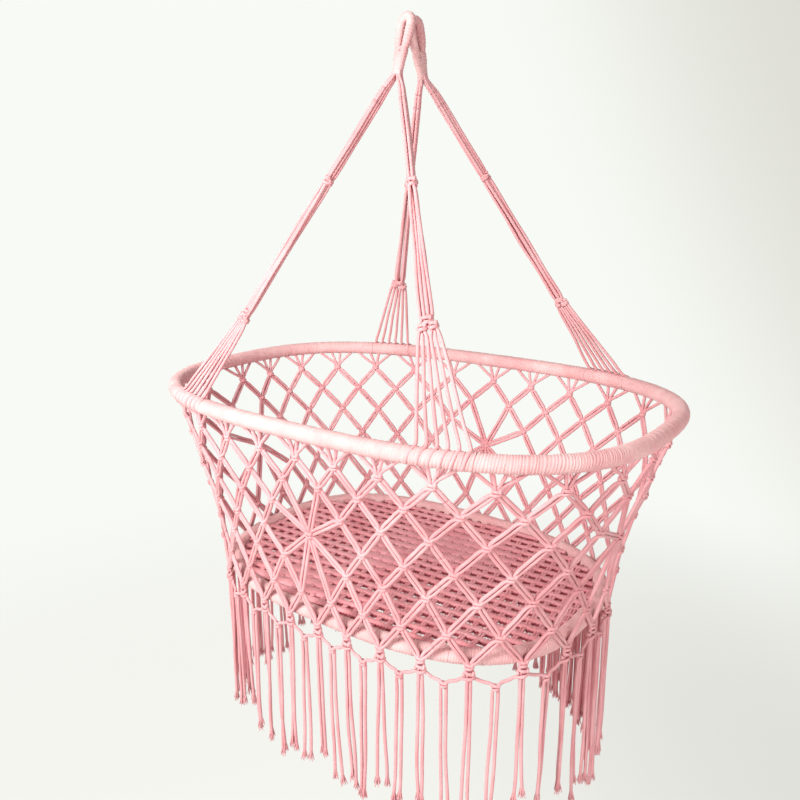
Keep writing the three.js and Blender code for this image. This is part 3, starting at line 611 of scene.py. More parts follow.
def winding_on(hoop, start, end, radius, rod, pitch, ridge, sides, seed):
    """One stretch of cord wound on a hoop, as a sleeve round the rod, with a ridge per turn."""
    rng = np.random.default_rng(seed)
    turns = max(2, round((end - start) * hoop.length / pitch))
    row = np.arange(turns * TURN_RINGS + 1)
    widths = 1 + rng.uniform(-TURN_WIDTHS, TURN_WIDTHS, turns)
    edges = start + np.concatenate([[0], np.cumsum(widths)]) / widths.sum() * (end - start)
    share = np.interp(row / TURN_RINGS, np.arange(turns + 1), edges)
    share[0], share[-1] = start, end
    lift = TURN_RISE[row % TURN_RINGS]
    proud = rng.uniform(*TURN_PROUD, turns)
    reach = radius + ridge * (lift - 1) + per_turn(proud, TURN_RINGS, proud[-1]) * lift
    angle = round_angles(sides)
    slants = np.interp(row, np.arange(turns) * TURN_RINGS, rng.uniform(*TURN_SLANTS, turns))
    tilt = slants[:, None] * ((end - start) / turns) * np.sin(angle)
    tilt[[0, -1]] = 0.0
    leaning = share[:, None] + tilt
    wander = 1 + 0.004 * np.sin(3 * angle + 0.7 * row[:, None] / TURN_RINGS)
    turn = np.sin(angle)[:, None] * Z - np.cos(angle)[:, None] * hoop.outward(leaning)
    outer = hoop.place(leaning) + (reach[:, None] * wander)[..., None] * turn
    back = np.linspace(end, start, max(2, round((end - start) * hoop.length / BORE_STEP)))
    bore = hoop.place(back)[:, None] + rod * spread(-hoop.outward(back), Z, angle)
    mesh = CordMesh()
    runs = np.concatenate([share, back]) * hoop.length * MM
    mesh.rings(np.concatenate([outer, bore]), runs, closed=True)
    return mesh


class CRADLE_OT_hoops(bpy.types.Operator):
    """Wind the cord on both hoops, on the top one between the rope hitches"""

    bl_idname = "cradle.hoops"
    bl_label = "Wound Hoops"

    def execute(self, context):
        cradle = Cradle(context.scene.cradle_sizes)
        half = FAN_ARC / 2 / cradle.top.length
        middles = [bundle.middle for bundle in cradle.bundles.values()]
        ends = [*[middle - half for middle in middles[1:]], middles[0] - half + 1]
        size = (cradle.top_radius, cradle.top_radius - WALL, cradle.pitch, TOP_RIDGE, TOP_SIDES)
        for i, name in enumerate(("far", "left", "near", "right")):
            span = (middles[i] + half, ends[i])
            self.wind("top", cradle.top, name, *span, *size, SEEDS["top"] + 2 * i)
        seam = KNOTS_PER_PANEL / 2 - 0.25
        radius = cradle.bottom_radius
        size = (radius, radius - WALL, cradle.pitch, BOTTOM_RIDGE, BOTTOM_SIDES)
        for p, name in enumerate(PANELS):
            span = (((p + q) * KNOTS_PER_PANEL + seam) / KNOT_COUNT for q in (-1, 0))
            self.wind("bottom", cradle.bottom, name, *span, *size, SEEDS["bottom"] + p)
        return {"FINISHED"}

    def wind(self, level, hoop, name, *winding):
        cords = winding_on(hoop, *winding)
        piece = cords.build(f"wound_{level}_hoop_{name}", "wound", "wound_cord")
        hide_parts(f"{level}_hoop_wrap_{name}")
        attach(piece, "cradle")


# Side net and fringe


class Route:
    """Points of one cord, with the piece that owns each stretch."""

    def __init__(self, owner):
        self.points, self.radii, self.cuts = [], [], []
        self.owner = owner

    def add(self, points, radius):
        for point in np.atleast_2d(points):
            self.points.append(point)
            self.radii.append(radius)

    def hand_over(self, owner):
        """From the last point on, the cord belongs to another piece."""
        if owner != self.owner:
            self.cuts.append((len(self.points) - 1, self.owner))
            self.owner = owner

    def pour(self, meshes, step=2.6, most=5):
        """Writes each stretch of the cord into its owner's mesh."""
        line, radii, marks = smooth_route(self.points, self.radii, step, most)
        begin, run = 0, 0.0
        for point, owner in [*self.cuts, (len(self.points) - 1, self.owner)]:
            end = marks[point]
            stretch = line[begin : end + 1]
            meshes[owner].tube(stretch, radii[begin : end + 1], 7, run, end_round=False)
            run += run_along(stretch)[-1]
            begin = end
        return line


# How far a brushed end's strands reach, how far they lean, and the turn from strand to strand.
TUFT_REACH, TUFT_LEAN, GOLDEN_ANGLE = (12, 17), (0.25, 0.55), 2.399963
# How far from a star's middle its cords bend, and how far they lie beside the pair's line there.
STAR_REACH, STAR_BESIDE = 8, 2.1
# How far from a knot's middle a cord runs straight, and how long a run must be for that.
STRAIGHT_FROM, LONG_RUN, SHORT_SHARE = 11.5, 40, 0.28
# How far the cut ends differ: in a slow wave round the hoop, and each by itself.
UNEVEN_WAVE, UNEVEN_EACH = 18, 9
# The far fringe's middle and half width, in shares of the hoop, and the width of its edges.
FAR_MIDDLE, FAR_HALF, FAR_EDGE = 0.27, 0.25, 0.06
# Where the spare ends leave the bottom hoop, inward from its middle and below it.
SPARE_INWARD, SPARE_START = 9, 14
# How much of its thickness a cord keeps near a knot, and where it is drawn into one.
EASED, DRAWN = 0.97, 0.92
# Where a cord enters its first knot, in shares of the knot's half width and half height.
ENTRY_BESIDE, ENTRY_ABOVE = {"outer": 0.9, "inner": 0.4}, 2.7
# How far from the middle a cord lies in the strap under the hoop, and below each knot there.
STRAP_APART = {"outer": 4.4, "inner": 1.9}
CLUSTER_FOOT, VALLEY_FOOT = 2.9, 4.2
# Points along a tail, how far it swings, and its two waves in radians from knot to cut.
TAIL_POINTS, TAIL_SWING, SLOW_WAVE, QUICK_WAVE = 8, (1.0, 5.0), 2.6, 9.0


def brush_out(cords, line, count, radius, rng):
    """The brushed end of a cord: thin strands that spread from its cut."""
    tip, way = line[-1], unit(line[-1] - line[-3])
    spin = rng.uniform(0, 2 * np.pi)
    side = unit(np.cross(way, [0.3, 1.0, 0.1]))
    other = np.cross(way, side)
    for i in range(count):
        angle = spin + i * GOLDEN_ANGLE
        ring = math.sqrt((i + 0.5) / count)
        lean = ring * rng.uniform(*TUFT_LEAN)
        spoke = side * math.cos(angle) + other * math.sin(angle)
        reach = rng.uniform(*TUFT_REACH)
        start = tip - way * 3 + spoke * radius * 0.7 * ring
        middle = tip + way * reach * 0.45 + spoke * (radius * 0.8 * ring + reach * lean * 0.3)
        end = tip + way * reach + spoke * (radius * ring + reach * lean * 0.55)
        sizes = [radius * 0.40, radius * 0.40, radius * 0.2]
        cords.cord([start, middle, end], sizes, step=4.0, sides=4, most=3, end_round=False)


def pass_knot(cradle, route, here, within, role, half=KNOT_HALF):
    table = FRONT_WORKER if within < 0 else BACK_WORKER
    if role == "inner":
        table = FILLER * [-within, 1, 1]
    route.add(in_knot(here, table, half), cradle.knot_cord)


def pass_star(cradle, route, here, back, ahead, lane, rng):
    """A cord's bend at a star, where four knots are drawn together."""
    lift = here.out * rng.uniform(-1.6, 1.2)
    beside_back = np.cross(here.out, -back) * lane * STAR_BESIDE
    beside_ahead = np.cross(here.out, ahead) * lane * STAR_BESIDE
    route.add(here.place + back * STAR_REACH + beside_back + lift * 0.4, cradle.knot_cord)
    route.add(here.place + (back + ahead) * 1.6 + lift, cradle.knot_cord * 0.95)
    route.add(here.place + ahead * STAR_REACH + beside_ahead + lift * 0.4, cradle.knot_cord)


def cross_to(cradle, route, owner, here, there, lane, rng):
    """The straight run between two knots, side by side with the pair's other cord."""
    way = there.place - here.place
    reach = np.linalg.norm(way)
    way = way / reach
    out = unit(here.out + there.out)
    beside = unit(np.cross(out, way)) * lane
    gap = cradle.cord - 0.05
    slack = rng.uniform(-0.05, 0.22)
    ends = STRAIGHT_FROM if reach > LONG_RUN else reach * SHORT_SHARE
    middle = here.place + way * reach / 2 + beside * (gap + slack) + out * rng.normal(0, 0.35)
    route.add(here.place + way * ends + beside * gap, cradle.cord * EASED)
    route.add(middle, cradle.cord)
    route.hand_over(owner)
    route.add(there.place - way * ends + beside * gap, cradle.cord * EASED)


def run_cord(cradle, meshes, knot, side, lane, rng):
    """One cord of a pair, which turns back at every knot beside the other."""
    visits = []
    for row in range(len(ROW_SHARES)):
        within = side if row % 2 == 0 else -side
        spot = cradle.knot_at(row, knot if row % 2 == 0 else knot + side * 0.5)
        if not visits or visits[-1][0] != spot:
            visits.append((spot, within))
    spots = [cradle.knot_frame(spot[1], spot[2]) for spot, _ in visits]
    last = spots[-1]
    spots[-1] = last._replace(place=last.place + last.out - Z * HOOP_KNOT_DROP)
    within = visits[0][1]
    role = "inner" if within * lane == -1 else "outer"
    route = Route(("net", panel_of(knot)))
    hang = knot + within * HANGER_SHARES[role]
    start = cradle.on_net(hang, (cradle.top_radius - 2.0) / cradle.depth)
    beside = within * ENTRY_BESIDE[role]
    entry = in_knot(spots[0], np.array([[beside, ENTRY_ABOVE, 0.1]]), KNOT_HALF)
    route.add(start, cradle.cord)
    route.add(start + (entry - start) * 0.5 + rng.normal(0, 0.5, 3), cradle.cord)
    route.add(entry, cradle.cord * 0.94)
    for i, ((spot, within), here) in enumerate(zip(visits, spots)):
        role = "inner" if within * lane == -1 else "outer"
        if spot[0] == "star":
            back, ahead = (unit(spots[n].place - here.place) for n in (i - 1, i + 1))
            pass_star(cradle, route, here, back, ahead, lane, rng)
        else:
            pass_knot(cradle, route, here, within, role)
        if i + 1 < len(spots):
            owner = ("net", panel_of(visits[i + 1][0][1]))
            cross_to(cradle, route, owner, here, spots[i + 1], lane, rng)
    run_fringe(cradle, meshes, route, knot, within, role, rng)


def run_fringe(cradle, meshes, route, knot, within, role, rng):
    """From the hoop down: a cluster knot, and a tail, or a lower knot and its tail."""
    here = cradle.knot_frame(knot, 1.0)
    out, across = here.out, here.across
    apart = within * STRAP_APART[role]
    strap = cradle.below_hoop(knot, STRAP_DROP) + across * apart - out * 1.5
    route.add(strap, cradle.cord * DRAWN)
    route.hand_over(("fringe", panel_of(knot)))
    place = cradle.below_hoop(knot, CLUSTER_DROP) - out
    pass_knot(cradle, route, here._replace(place=place, up=Z), within, role, CLUSTER_HALF)
    foot = place + across * within * CLUSTER_FOOT
    if role == "outer":
        knot = knot + within * 0.5
        here = cradle.knot_frame(knot, 1.0)
        valley = here._replace(place=cradle.below_hoop(knot, VALLEY_DROP), up=Z)
        way = valley.place - place
        sag = -Z * rng.uniform(0.5, 2.0)
        route.add(place + way * 0.3 - Z * 1.0, cradle.cord * DRAWN)
        route.add(place + way * 0.5 + sag, cradle.cord * 0.94)
        route.hand_over(("fringe", panel_of(knot)))
        route.add(place + way * 0.78 + sag * 0.5 + Z * 2.0, cradle.cord * DRAWN)
        pass_knot(cradle, route, valley, -within, "outer", VALLEY_HALF)
        foot = valley.place - here.across * within * VALLEY_FOOT
    hang_tail(cradle, route, foot, here, knot, uneven(knot, rng), rng)
    line = route.pour(meshes)
    brush_out(meshes[route.owner], line, cradle.tuft_count, cradle.cord, rng)


def uneven(knot, rng):
    """How much longer a cut end is than the next, because they were cut by eye."""
    wave = UNEVEN_WAVE * math.sin(2.3 * knot + 1)
    return wave + rng.uniform(-UNEVEN_EACH, UNEVEN_EACH)


def hang_tail(cradle, route, foot, here, knot, extra, rng):
    """A cut end that hangs from its knot in a slow wave. The far side was left longer."""
    share = cradle.drifted(knot) % 1.0
    back = min(1.0, max(0.0, (FAR_HALF - abs(share - FAR_MIDDLE)) / FAR_EDGE + 1))
    tail = cradle.tail + FAR_EXTRA * back + extra
    drops = np.linspace(0.1, 1.0, TAIL_POINTS)[:, None]
    phase = rng.uniform(0, 2 * np.pi, 4)
    swing = rng.uniform(*TAIL_SWING, 2)
    slow = np.sin(drops * SLOW_WAVE + phase[:2]) - np.sin(phase[:2])
    quick = np.sin(drops * QUICK_WAVE + phase[2:]) * 0.7
    sway = (slow * swing * [1.0, 0.7] + quick) * drops**0.7
    points = foot - Z * drops * tail + here.across * sway[:, :1] + here.out * sway[:, 1:]
    route.add(points, cradle.cord * EASED)


def hang_spare_ends(cradle, cords, rng):
    """Ends of floor cords that hang in close rows behind the fringe at two corners."""
    for knot, extra in [(k, more) for *group, more in SPARE_ENDS for k in np.linspace(*group)]:
        here = cradle.knot_frame(knot, 1.0)
        route = Route("ends")
        inward = here.out * rng.uniform(0, SPARE_INWARD)
        foot = cradle.bottom.place(cradle.drifted(knot)) - inward
        for drop in (cradle.bottom_radius - 2, cradle.bottom_radius + 12):
            route.add(foot - Z * drop, cradle.cord)
        start = foot - Z * SPARE_START
        hang_tail(cradle, route, start, here, knot, extra + rng.uniform(-5, 5), rng)
        line = route.pour({"ends": cords})
        brush_out(cords, line, cradle.tuft_count // 2, cradle.cord, rng)


class CRADLE_OT_side_net(bpy.types.Operator):
    """Knot the side net and its fringe, each cord from the top hoop to its brushed end"""

    bl_idname = "cradle.side_net"
    bl_label = "Side Net and Fringe"

    def execute(self, context):
        cradle = Cradle(context.scene.cradle_sizes)
        rng = np.random.default_rng(SEEDS["net"])
        meshes = {(kind, panel): CordMesh() for kind in ("net", "fringe") for panel in PANELS}
        for knot in range(KNOT_COUNT):
            for side, lane in ((-1, -1), (-1, 1), (1, -1), (1, 1)):
                run_cord(cradle, meshes, knot, side, lane, rng)
        spare = CordMesh()
        hang_spare_ends(cradle, spare, rng)
        # The ends take the floor's cotton, whose deeper colour is partly painted shade.
        piece = spare.build("floor_cord_ends", "floor", "floor_cord")
        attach(piece, "cradle")
        for p, panel in enumerate(PANELS):
            star = cradle.knot_frame(p * KNOTS_PER_PANEL, STAR_SHARE)
            tie_knot(meshes["net", panel], star, STAR_HALF, cradle.knot_cord, step=2.2, sides=7)
        for (kind, panel), cords in meshes.items():
            name = f"side_net_cords_{panel}" if kind == "net" else f"fringe_cords_{panel}"
            slot = "net_cord" if kind == "net" else "fringe_cord"
            piece = cords.build(name, "net", slot)
            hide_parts(f"side_net_{panel}" if kind == "net" else f"fringe_{panel}")
            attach(piece, "cradle")
        return {"FINISHED"}


# Floor

FLOOR_SKEW = 0.05
# Middle, half length and half width of the places where the rows were drawn together.
CLOSE_PATCHES = (
    (35.0, 95.0, 130.0, 80.0), (-55.0, -10.0, 62.0, 70.0), (-130.0, -180.0, 95.0, 55.0)
)
# Lines of the net on each side of its middle, more than the hoop holds, and their probing step.
FLOOR_LINES = range(-20, 21)
PROBE_STEP = 0.5
# Half width and half height of a row, and what it gains where the rows are drawn together.
ROW_HALF_WIDTH, ROW_HALF_HEIGHT, ROW_SPREAD = 7.2, 6.2, 6.6
ROW_RISE, ROW_RIDGE, ROW_SIDES = np.array([0.0, 1.0, 0.92]), 1.3, 10
# How square a row is: 2 would be an oval, and more is nearer a box.
ROW_SQUARE = 2.6
# A cross cord's radius, and its distance from the pair's middle at the hoop, in a row and between.
CROSS_RADIUS = 2.5
AT_HOOP, IN_ROW, BETWEEN_ROWS = 2.3, 1.8, 2.35
# How far a cross cord rises in a row and between rows, and how near the hoop no row is crossed.
ROW_LIFT, GAP_LIFT, HOOP_CLEAR = 0.5, 3.4, 6


def superround(c, s, power):
    """How far out a squared-off ring stands at each angle, for a radius of 1."""
    return (np.abs(c) ** power + np.abs(s) ** power) ** (-1 / power)


def hitch_row(cords, height, y, start, end, pitch_x, skew, rng):
    """One row: carriers hidden under half hitches, which show as slanting turns of cord."""
    pitch, rings = pitch_x / 4, len(ROW_RISE)
    turns = round((end - start) / pitch)
    count = turns * rings + 1
    x = np.linspace(start, end, count)
    lift = ROW_RISE[np.arange(count) % rings]
    swell = per_turn(rng.uniform(-0.6, 0.6, turns), rings, 0.0)
    slant = per_turn(rng.uniform(0.2, 0.9, turns), rings, 0.5) * pitch
    off = [((x - px) / wide) ** 2 + ((y - py) / deep) ** 2 for px, py, wide, deep in CLOSE_PATCHES]
    close = np.exp(-(np.min(off, axis=0) ** 2))
    ridge = ROW_RIDGE * (lift - 1) + swell * lift
    drift = np.interp(x, np.linspace(start, end, 12), rng.uniform(-0.8, 0.8, 12))
    lie = np.interp(x, np.linspace(start, end, 9), rng.uniform(-0.9, 0.6, 9))
    angle = round_angles(ROW_SIDES)
    c, s = np.cos(angle), np.sin(angle)
    boxy = superround(c, s, ROW_SQUARE)
    half_width = (ROW_HALF_WIDTH + ROW_SPREAD * close + ridge)[:, None]
    along = x[:, None] + slant[:, None] * 0.5 * s
    across = y + drift[:, None] + half_width * c * boxy
    up = height + lie[:, None] + (ROW_HALF_HEIGHT + ridge)[:, None] * s * boxy
    flat = np.stack([along, across], -1) @ skew
    cords.rings(np.concatenate([flat, up[..., None]], -1), x * MM)


def cross_cords(cords, height, x, start, end, rows, skew, rng):
    """Two cords from edge to edge, side by side over the gaps and hidden inside every row."""
    inner = [y for y in rows if start + HOOP_CLEAR < y < end - HOOP_CLEAR]
    for side in (-1, 1):
        points = [(x + side * AT_HOOP, start, 0.0)]
        for y, ahead in zip(inner, [*inner[1:], None]):
            points.append((x + side * IN_ROW + rng.normal(0, 0.3), y, ROW_LIFT))
            if ahead is not None:
                beside = x + side * BETWEEN_ROWS + rng.normal(0, 0.3)
                points.append((beside, (y + ahead) / 2, GAP_LIFT + rng.normal(0, 0.3)))
        points.append((x + side * AT_HOOP, end, 0.0))
        points = np.array(points)
        points = np.concatenate([points[:, :2] @ skew, points[:, 2:] + height], 1)
        cords.cord(points, CROSS_RADIUS, step=5.0, sides=7, most=3)


class CRADLE_OT_floor(bpy.types.Operator):
    """Knot the floor: hitched rows along the cradle, with pairs of cords across them"""

    bl_idname = "cradle.floor"
    bl_label = "Floor"

    def execute(self, context):
        cradle = Cradle(context.scene.cradle_sizes)
        rng = np.random.default_rng(SEEDS["floor"])
        cords = CordMesh()
        pitch_x, pitch_y = cradle.floor_pitch
        hoop = cradle.bottom
        reach = hoop.half - cradle.bottom_radius + 2.0
        c, s = math.cos(FLOOR_SKEW), math.sin(FLOOR_SKEW)
        skew = np.array([[c, s], [-s, c]])
        places = np.arange(-reach[0] * 1.1, reach[0] * 1.1, PROBE_STEP)

        def inside(offset, axis):
            """Where a line of the net at this offset lies inside the hoop."""
            line = np.full((len(places), 2), offset)
            line[:, axis] = places
            return places[(np.abs(line @ skew / reach) ** (2 / hoop.bend)).sum(1) < 1]

        rows = []
        for y in [line * pitch_y for line in FLOOR_LINES]:
            held = inside(y, 0)
            if len(held) * PROBE_STEP > pitch_x * 2:
                rows.append(y)
                hitch_row(cords, hoop.height, y, held[0], held[-1], pitch_x, skew, rng)
        for x in [line * pitch_x for line in FLOOR_LINES]:
            held = inside(x, 1)
            if len(held) * PROBE_STEP > pitch_y * 2:
                cross_cords(cords, hoop.height, x, held[0], held[-1], rows, skew, rng)
        piece = cords.build("floor_cords", "floor", "floor_cord")
        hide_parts("floor_net")
        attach(piece, "cradle")
        return {"FINISHED"}


# Suspension

# Each neck's foot and its eye's crown, the way its legs stand apart, a dent between the legs at a
# height above the foot, and how much wider it is at the top.
NECKS = {
    "near": ((0.0, -36.0, -80.0), (4.0, -12.5, 7.75), (0.97, -0.24, 0.0), (4.0, -7.6, 37.0), 0.0),
    "far": ((0.0, 36.0, -80.0), (-4.0, 15.5, 7.75), (0.08, 1.0, 0.0), (-6.0, -7.2, 36.0), 0.14),
}
NECK_LENGTH = 40.0
NECK_TOP = 45.0
# The neck's half width and half depth at heights above its foot.
NECK_UP = (0.0, 1.5, 20.0, 36.0, 42.0, 45.0)
NECK_WIDE = (7.8, 9.0, 11.0, 13.4, 13.2, 10.8)
NECK_DEEP = (5.6, 6.8, 7.4, 8.0, 7.6, 5.2)
EYE_RADIUS = 7.75
EYE_HALF_SPREAD = 11.3
LEG_RADIUS = 4.4
# Spacing and height of the turns, and sides of their rings, on an eye and on a neck.
EYE_PITCH, EYE_RIDGE, EYE_SIDES = 5.0, 0.8, 20
NECK_PITCH, NECK_RIDGE, NECK_SIDES = 4.5, 0.9, 56
DENT_DEPTH, DENT_SPREAD = 0.6, 1.7
# How square a neck is, and the side and length of the two cord ends let out under it.
NECK_SQUARE, NECK_ENDS = 2.4, ((-1, 7.0), (1, 3.0))


def neck_of(side):
    *places, dent, flare = NECKS[side]
    foot, crown, wanted = np.array(places)
    axis = unit(crown - foot)
    lateral = unit(wanted - axis * wanted.dot(axis))
    reach = np.linalg.norm(crown - foot)
    return Neck(foot, axis, lateral, np.cross(axis, lateral), reach, dent, flare)


def wind_eye(neck, rng):
    """A bight of rope wound with cord, from its legs in the neck up and round."""
    bow = neck.reach - EYE_HALF_SPREAD
    half = [
        (LEG_RADIUS + 0.3, 4.0, LEG_RADIUS),
        (LEG_RADIUS + 0.3, 28.0, LEG_RADIUS),
        (LEG_RADIUS + 1.2, NECK_LENGTH - 2.0, 5.6),
        (8.0, NECK_LENGTH + 7.0, 6.9),
        (10.2, NECK_LENGTH + 17.0, EYE_RADIUS - 0.2),
    ]
    for angle in np.linspace(0, math.pi / 2, 6)[:-1]:
        out, up = EYE_HALF_SPREAD * math.cos(angle), EYE_HALF_SPREAD * math.sin(angle)
        half.append((out, bow + up, EYE_RADIUS))
    other_half = [(-out, up, radius) for out, up, radius in reversed(half)]
    steps = [*half, (0.0, neck.reach, EYE_RADIUS), *other_half]
    points = [neck.foot + neck.lateral * out + neck.axis * up for out, up, _ in steps]
    line, radii, _ = smooth_route(points, [radius for _, _, radius in steps], step=1.0, most=24)
    run = run_along(line)
    turns = round(run[-1] / EYE_PITCH)
    count = turns * TURN_RINGS + 1
    where = np.linspace(0, run[-1], count)
    centre = np.stack([np.interp(where, run, line[:, a]) for a in range(3)], -1)
    lift = TURN_RISE[np.arange(count) % TURN_RINGS]
    proud = per_turn(rng.uniform(-0.3, 0.15, turns), TURN_RINGS, 0)
    reach = np.interp(where, run, radii) + EYE_RIDGE * (lift - 1) + proud * lift
    side, up = carried_frames(centre)
    angle = round_angles(EYE_SIDES)
    rings = centre[:, None] + reach[:, None, None] * spread(side, up, angle)
    slant = np.cross(side, up)[:, None] * (0.35 * EYE_PITCH * np.sin(angle))[:, None]
    cords = CordMesh()
    cords.rings(rings + slant, where * MM)
    return cords


def wind_neck(neck, rng):
    """Cord wound close round both legs, wider at the top, its ends let out at both edges."""
    foot, axis, lateral, depth = neck[:4]
    turn_rings = 6
    turns = round(NECK_TOP / NECK_PITCH)
    count = turns * turn_rings + 1
    up = np.linspace(0, NECK_TOP, count)
    lift = np.sqrt(np.abs(np.sin(np.arange(count) * math.pi / turn_rings)))
    proud = per_turn(rng.uniform(-0.4, 0.2, turns), turn_rings, 0)
    swell = NECK_RIDGE * (lift - 1) + proud * lift
    wide = np.interp(up, NECK_UP, NECK_WIDE) * (1 + neck.flare * up / NECK_TOP) + swell
    deep = np.interp(up, NECK_UP, NECK_DEEP) + swell
    angle = round_angles(NECK_SIDES)
    c, s = np.cos(angle), np.sin(angle)
    oblong = superround(c, s, NECK_SQUARE)
    x, y = wide[:, None] * c * oblong, deep[:, None] * s * oblong
    height = up[:, None] + 0.9 * s * np.interp(up, [0, 4], [0, 1])[:, None]
    dent_x, dent_y, dent_up = neck.dent
    off = (x - dent_x) ** 2 + (y - dent_y) ** 2 + (height - dent_up) ** 2
    inward = 1 - DENT_DEPTH * np.exp(-off / (2 * DENT_SPREAD**2))
    aside = (x * inward)[..., None] * lateral + (y * inward)[..., None] * depth
    cords = CordMesh()
    cords.rings(foot + aside + height[..., None] * axis, up * MM)
    for hand, drop in NECK_ENDS:
        start = foot + lateral * hand * 8.2 - depth * 2.5
        tip = start - axis * drop + lateral * hand * 1.2
        cords.cord([start + axis * 6, start, tip], [2.0, 2.0, 1.7], step=3.0)
    return cords


class CRADLE_OT_rope_eyes(bpy.types.Operator):
    """Wind the two rope eyes and their necks"""

    bl_idname = "cradle.rope_eyes"
    bl_label = "Rope Eyes and Necks"

    def execute(self, context):
        for i, side in enumerate(("near", "far")):
            neck = neck_of(side)
            eye = wind_eye(neck, np.random.default_rng(SEEDS["eye"] + i))
            piece = eye.build(f"wound_eye_{side}", "wound", "wound_cord")
            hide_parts(f"rope_eye_{side}")
            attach(piece, "hanger")
            neck = wind_neck(neck, np.random.default_rng(SEEDS["neck"] + i))
            piece = neck.build(f"wound_neck_{side}", "wound", "wound_cord")
            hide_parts(f"neck_winding_{side}")
            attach(piece, "hanger")
        return {"FINISHED"}


ROPES = 6
# How far from the middle of its neck a bundle comes out, and the length of its bend there.
EXIT_APART, FLEX = 6.6, 46.0
# Each square knot's place beside and above the middle, and its half width, half height and depth.
MID_KNOTS = ((0.0, 0.0, (6.9, 4.4, 7.4)),)
LOW_KNOTS = (
    (0.0, 6.0, (7.6, 3.6, 5.6)), (-8.0, -3.6, (6.1, 3.2, 4.9)), (8.0, -3.6, (6.1, 3.2, 4.9))
)
# Places of the six ropes, sideways and outward, in each stretch of a bundle.
PACKED = np.array(
    [(-2.75, 4.7), (-2.75, -4.7), (-2.75, 0.0), (2.75, 0.0), (2.75, -4.7), (2.75, 4.7)]
)
FLATTER = np.array(
    [(-8.5, 1.5), (-5.7, -3.1), (-2.85, 1.5), (2.85, 1.5), (5.7, -3.1), (8.5, 1.5)]
)
GROUPED = np.array(
    [(-12.2, 1.0), (-9.0, -1.6), (-5.8, 1.0), (5.8, 1.0), (9.0, -1.6), (12.2, 1.0)]
)
IN_LINE = np.array([(x, 0.0) for x in (-15.5, -9.3, -3.1, 3.1, 9.3, 15.5)])
# How far above and below their middles the knots hold the ropes, at the middle one and at the
# wide ones, where they are first gathered and then drawn in.
MID_HOLD, LOW_ABOVE, LOW_BELOW = 13, (15, 5), (6, 16)
# The angle at which a rope lands on the hoop, those that it takes round it, and its depth there.
LANDING = math.radians(100)
HITCH_TURNS = np.radians([95, 60, 25, -10, -45, -80])
HITCH_DEPTHS = (0.2, 1.5, 1.9, 2.1, 2.3, 3.4)
# Degrees of a hitch's slanting turn, and how far along the hoop it goes in them.
HITCH_SWEEP, HITCH_SLANT = 185, 13.0


def tie_to_hoop(cradle, route, bundle, start, i, rng):
    """A fan rope lands on top of the hoop and goes into the winding, slanting over its face."""
    hoop = cradle.top
    apart = (FAN_ARC - 4 * cradle.rope) / (ROPES - 1)
    share = bundle.middle + (i - (ROPES - 1) / 2) * apart / hoop.length
    centre, out, along = hoop.place(share), hoop.outward(share), hoop.along(share)

    def on_hoop(turn, radius):
        return (out * math.cos(turn) + Z * math.sin(turn)) * radius

    foot = centre + on_hoop(LANDING, cradle.hitch_radius + 0.4)
    for share_down in (0.25, 0.5, 0.78):
        route.add(start + (foot - start) * share_down + rng.normal(0, 0.35, 3), cradle.rope)
    for turn, depth in zip(HITCH_TURNS, HITCH_DEPTHS):
        spot = centre - along * math.degrees(LANDING - turn) / HITCH_SWEEP * HITCH_SLANT
        route.add(spot + on_hoop(turn, cradle.hitch_radius - depth), cradle.rope)


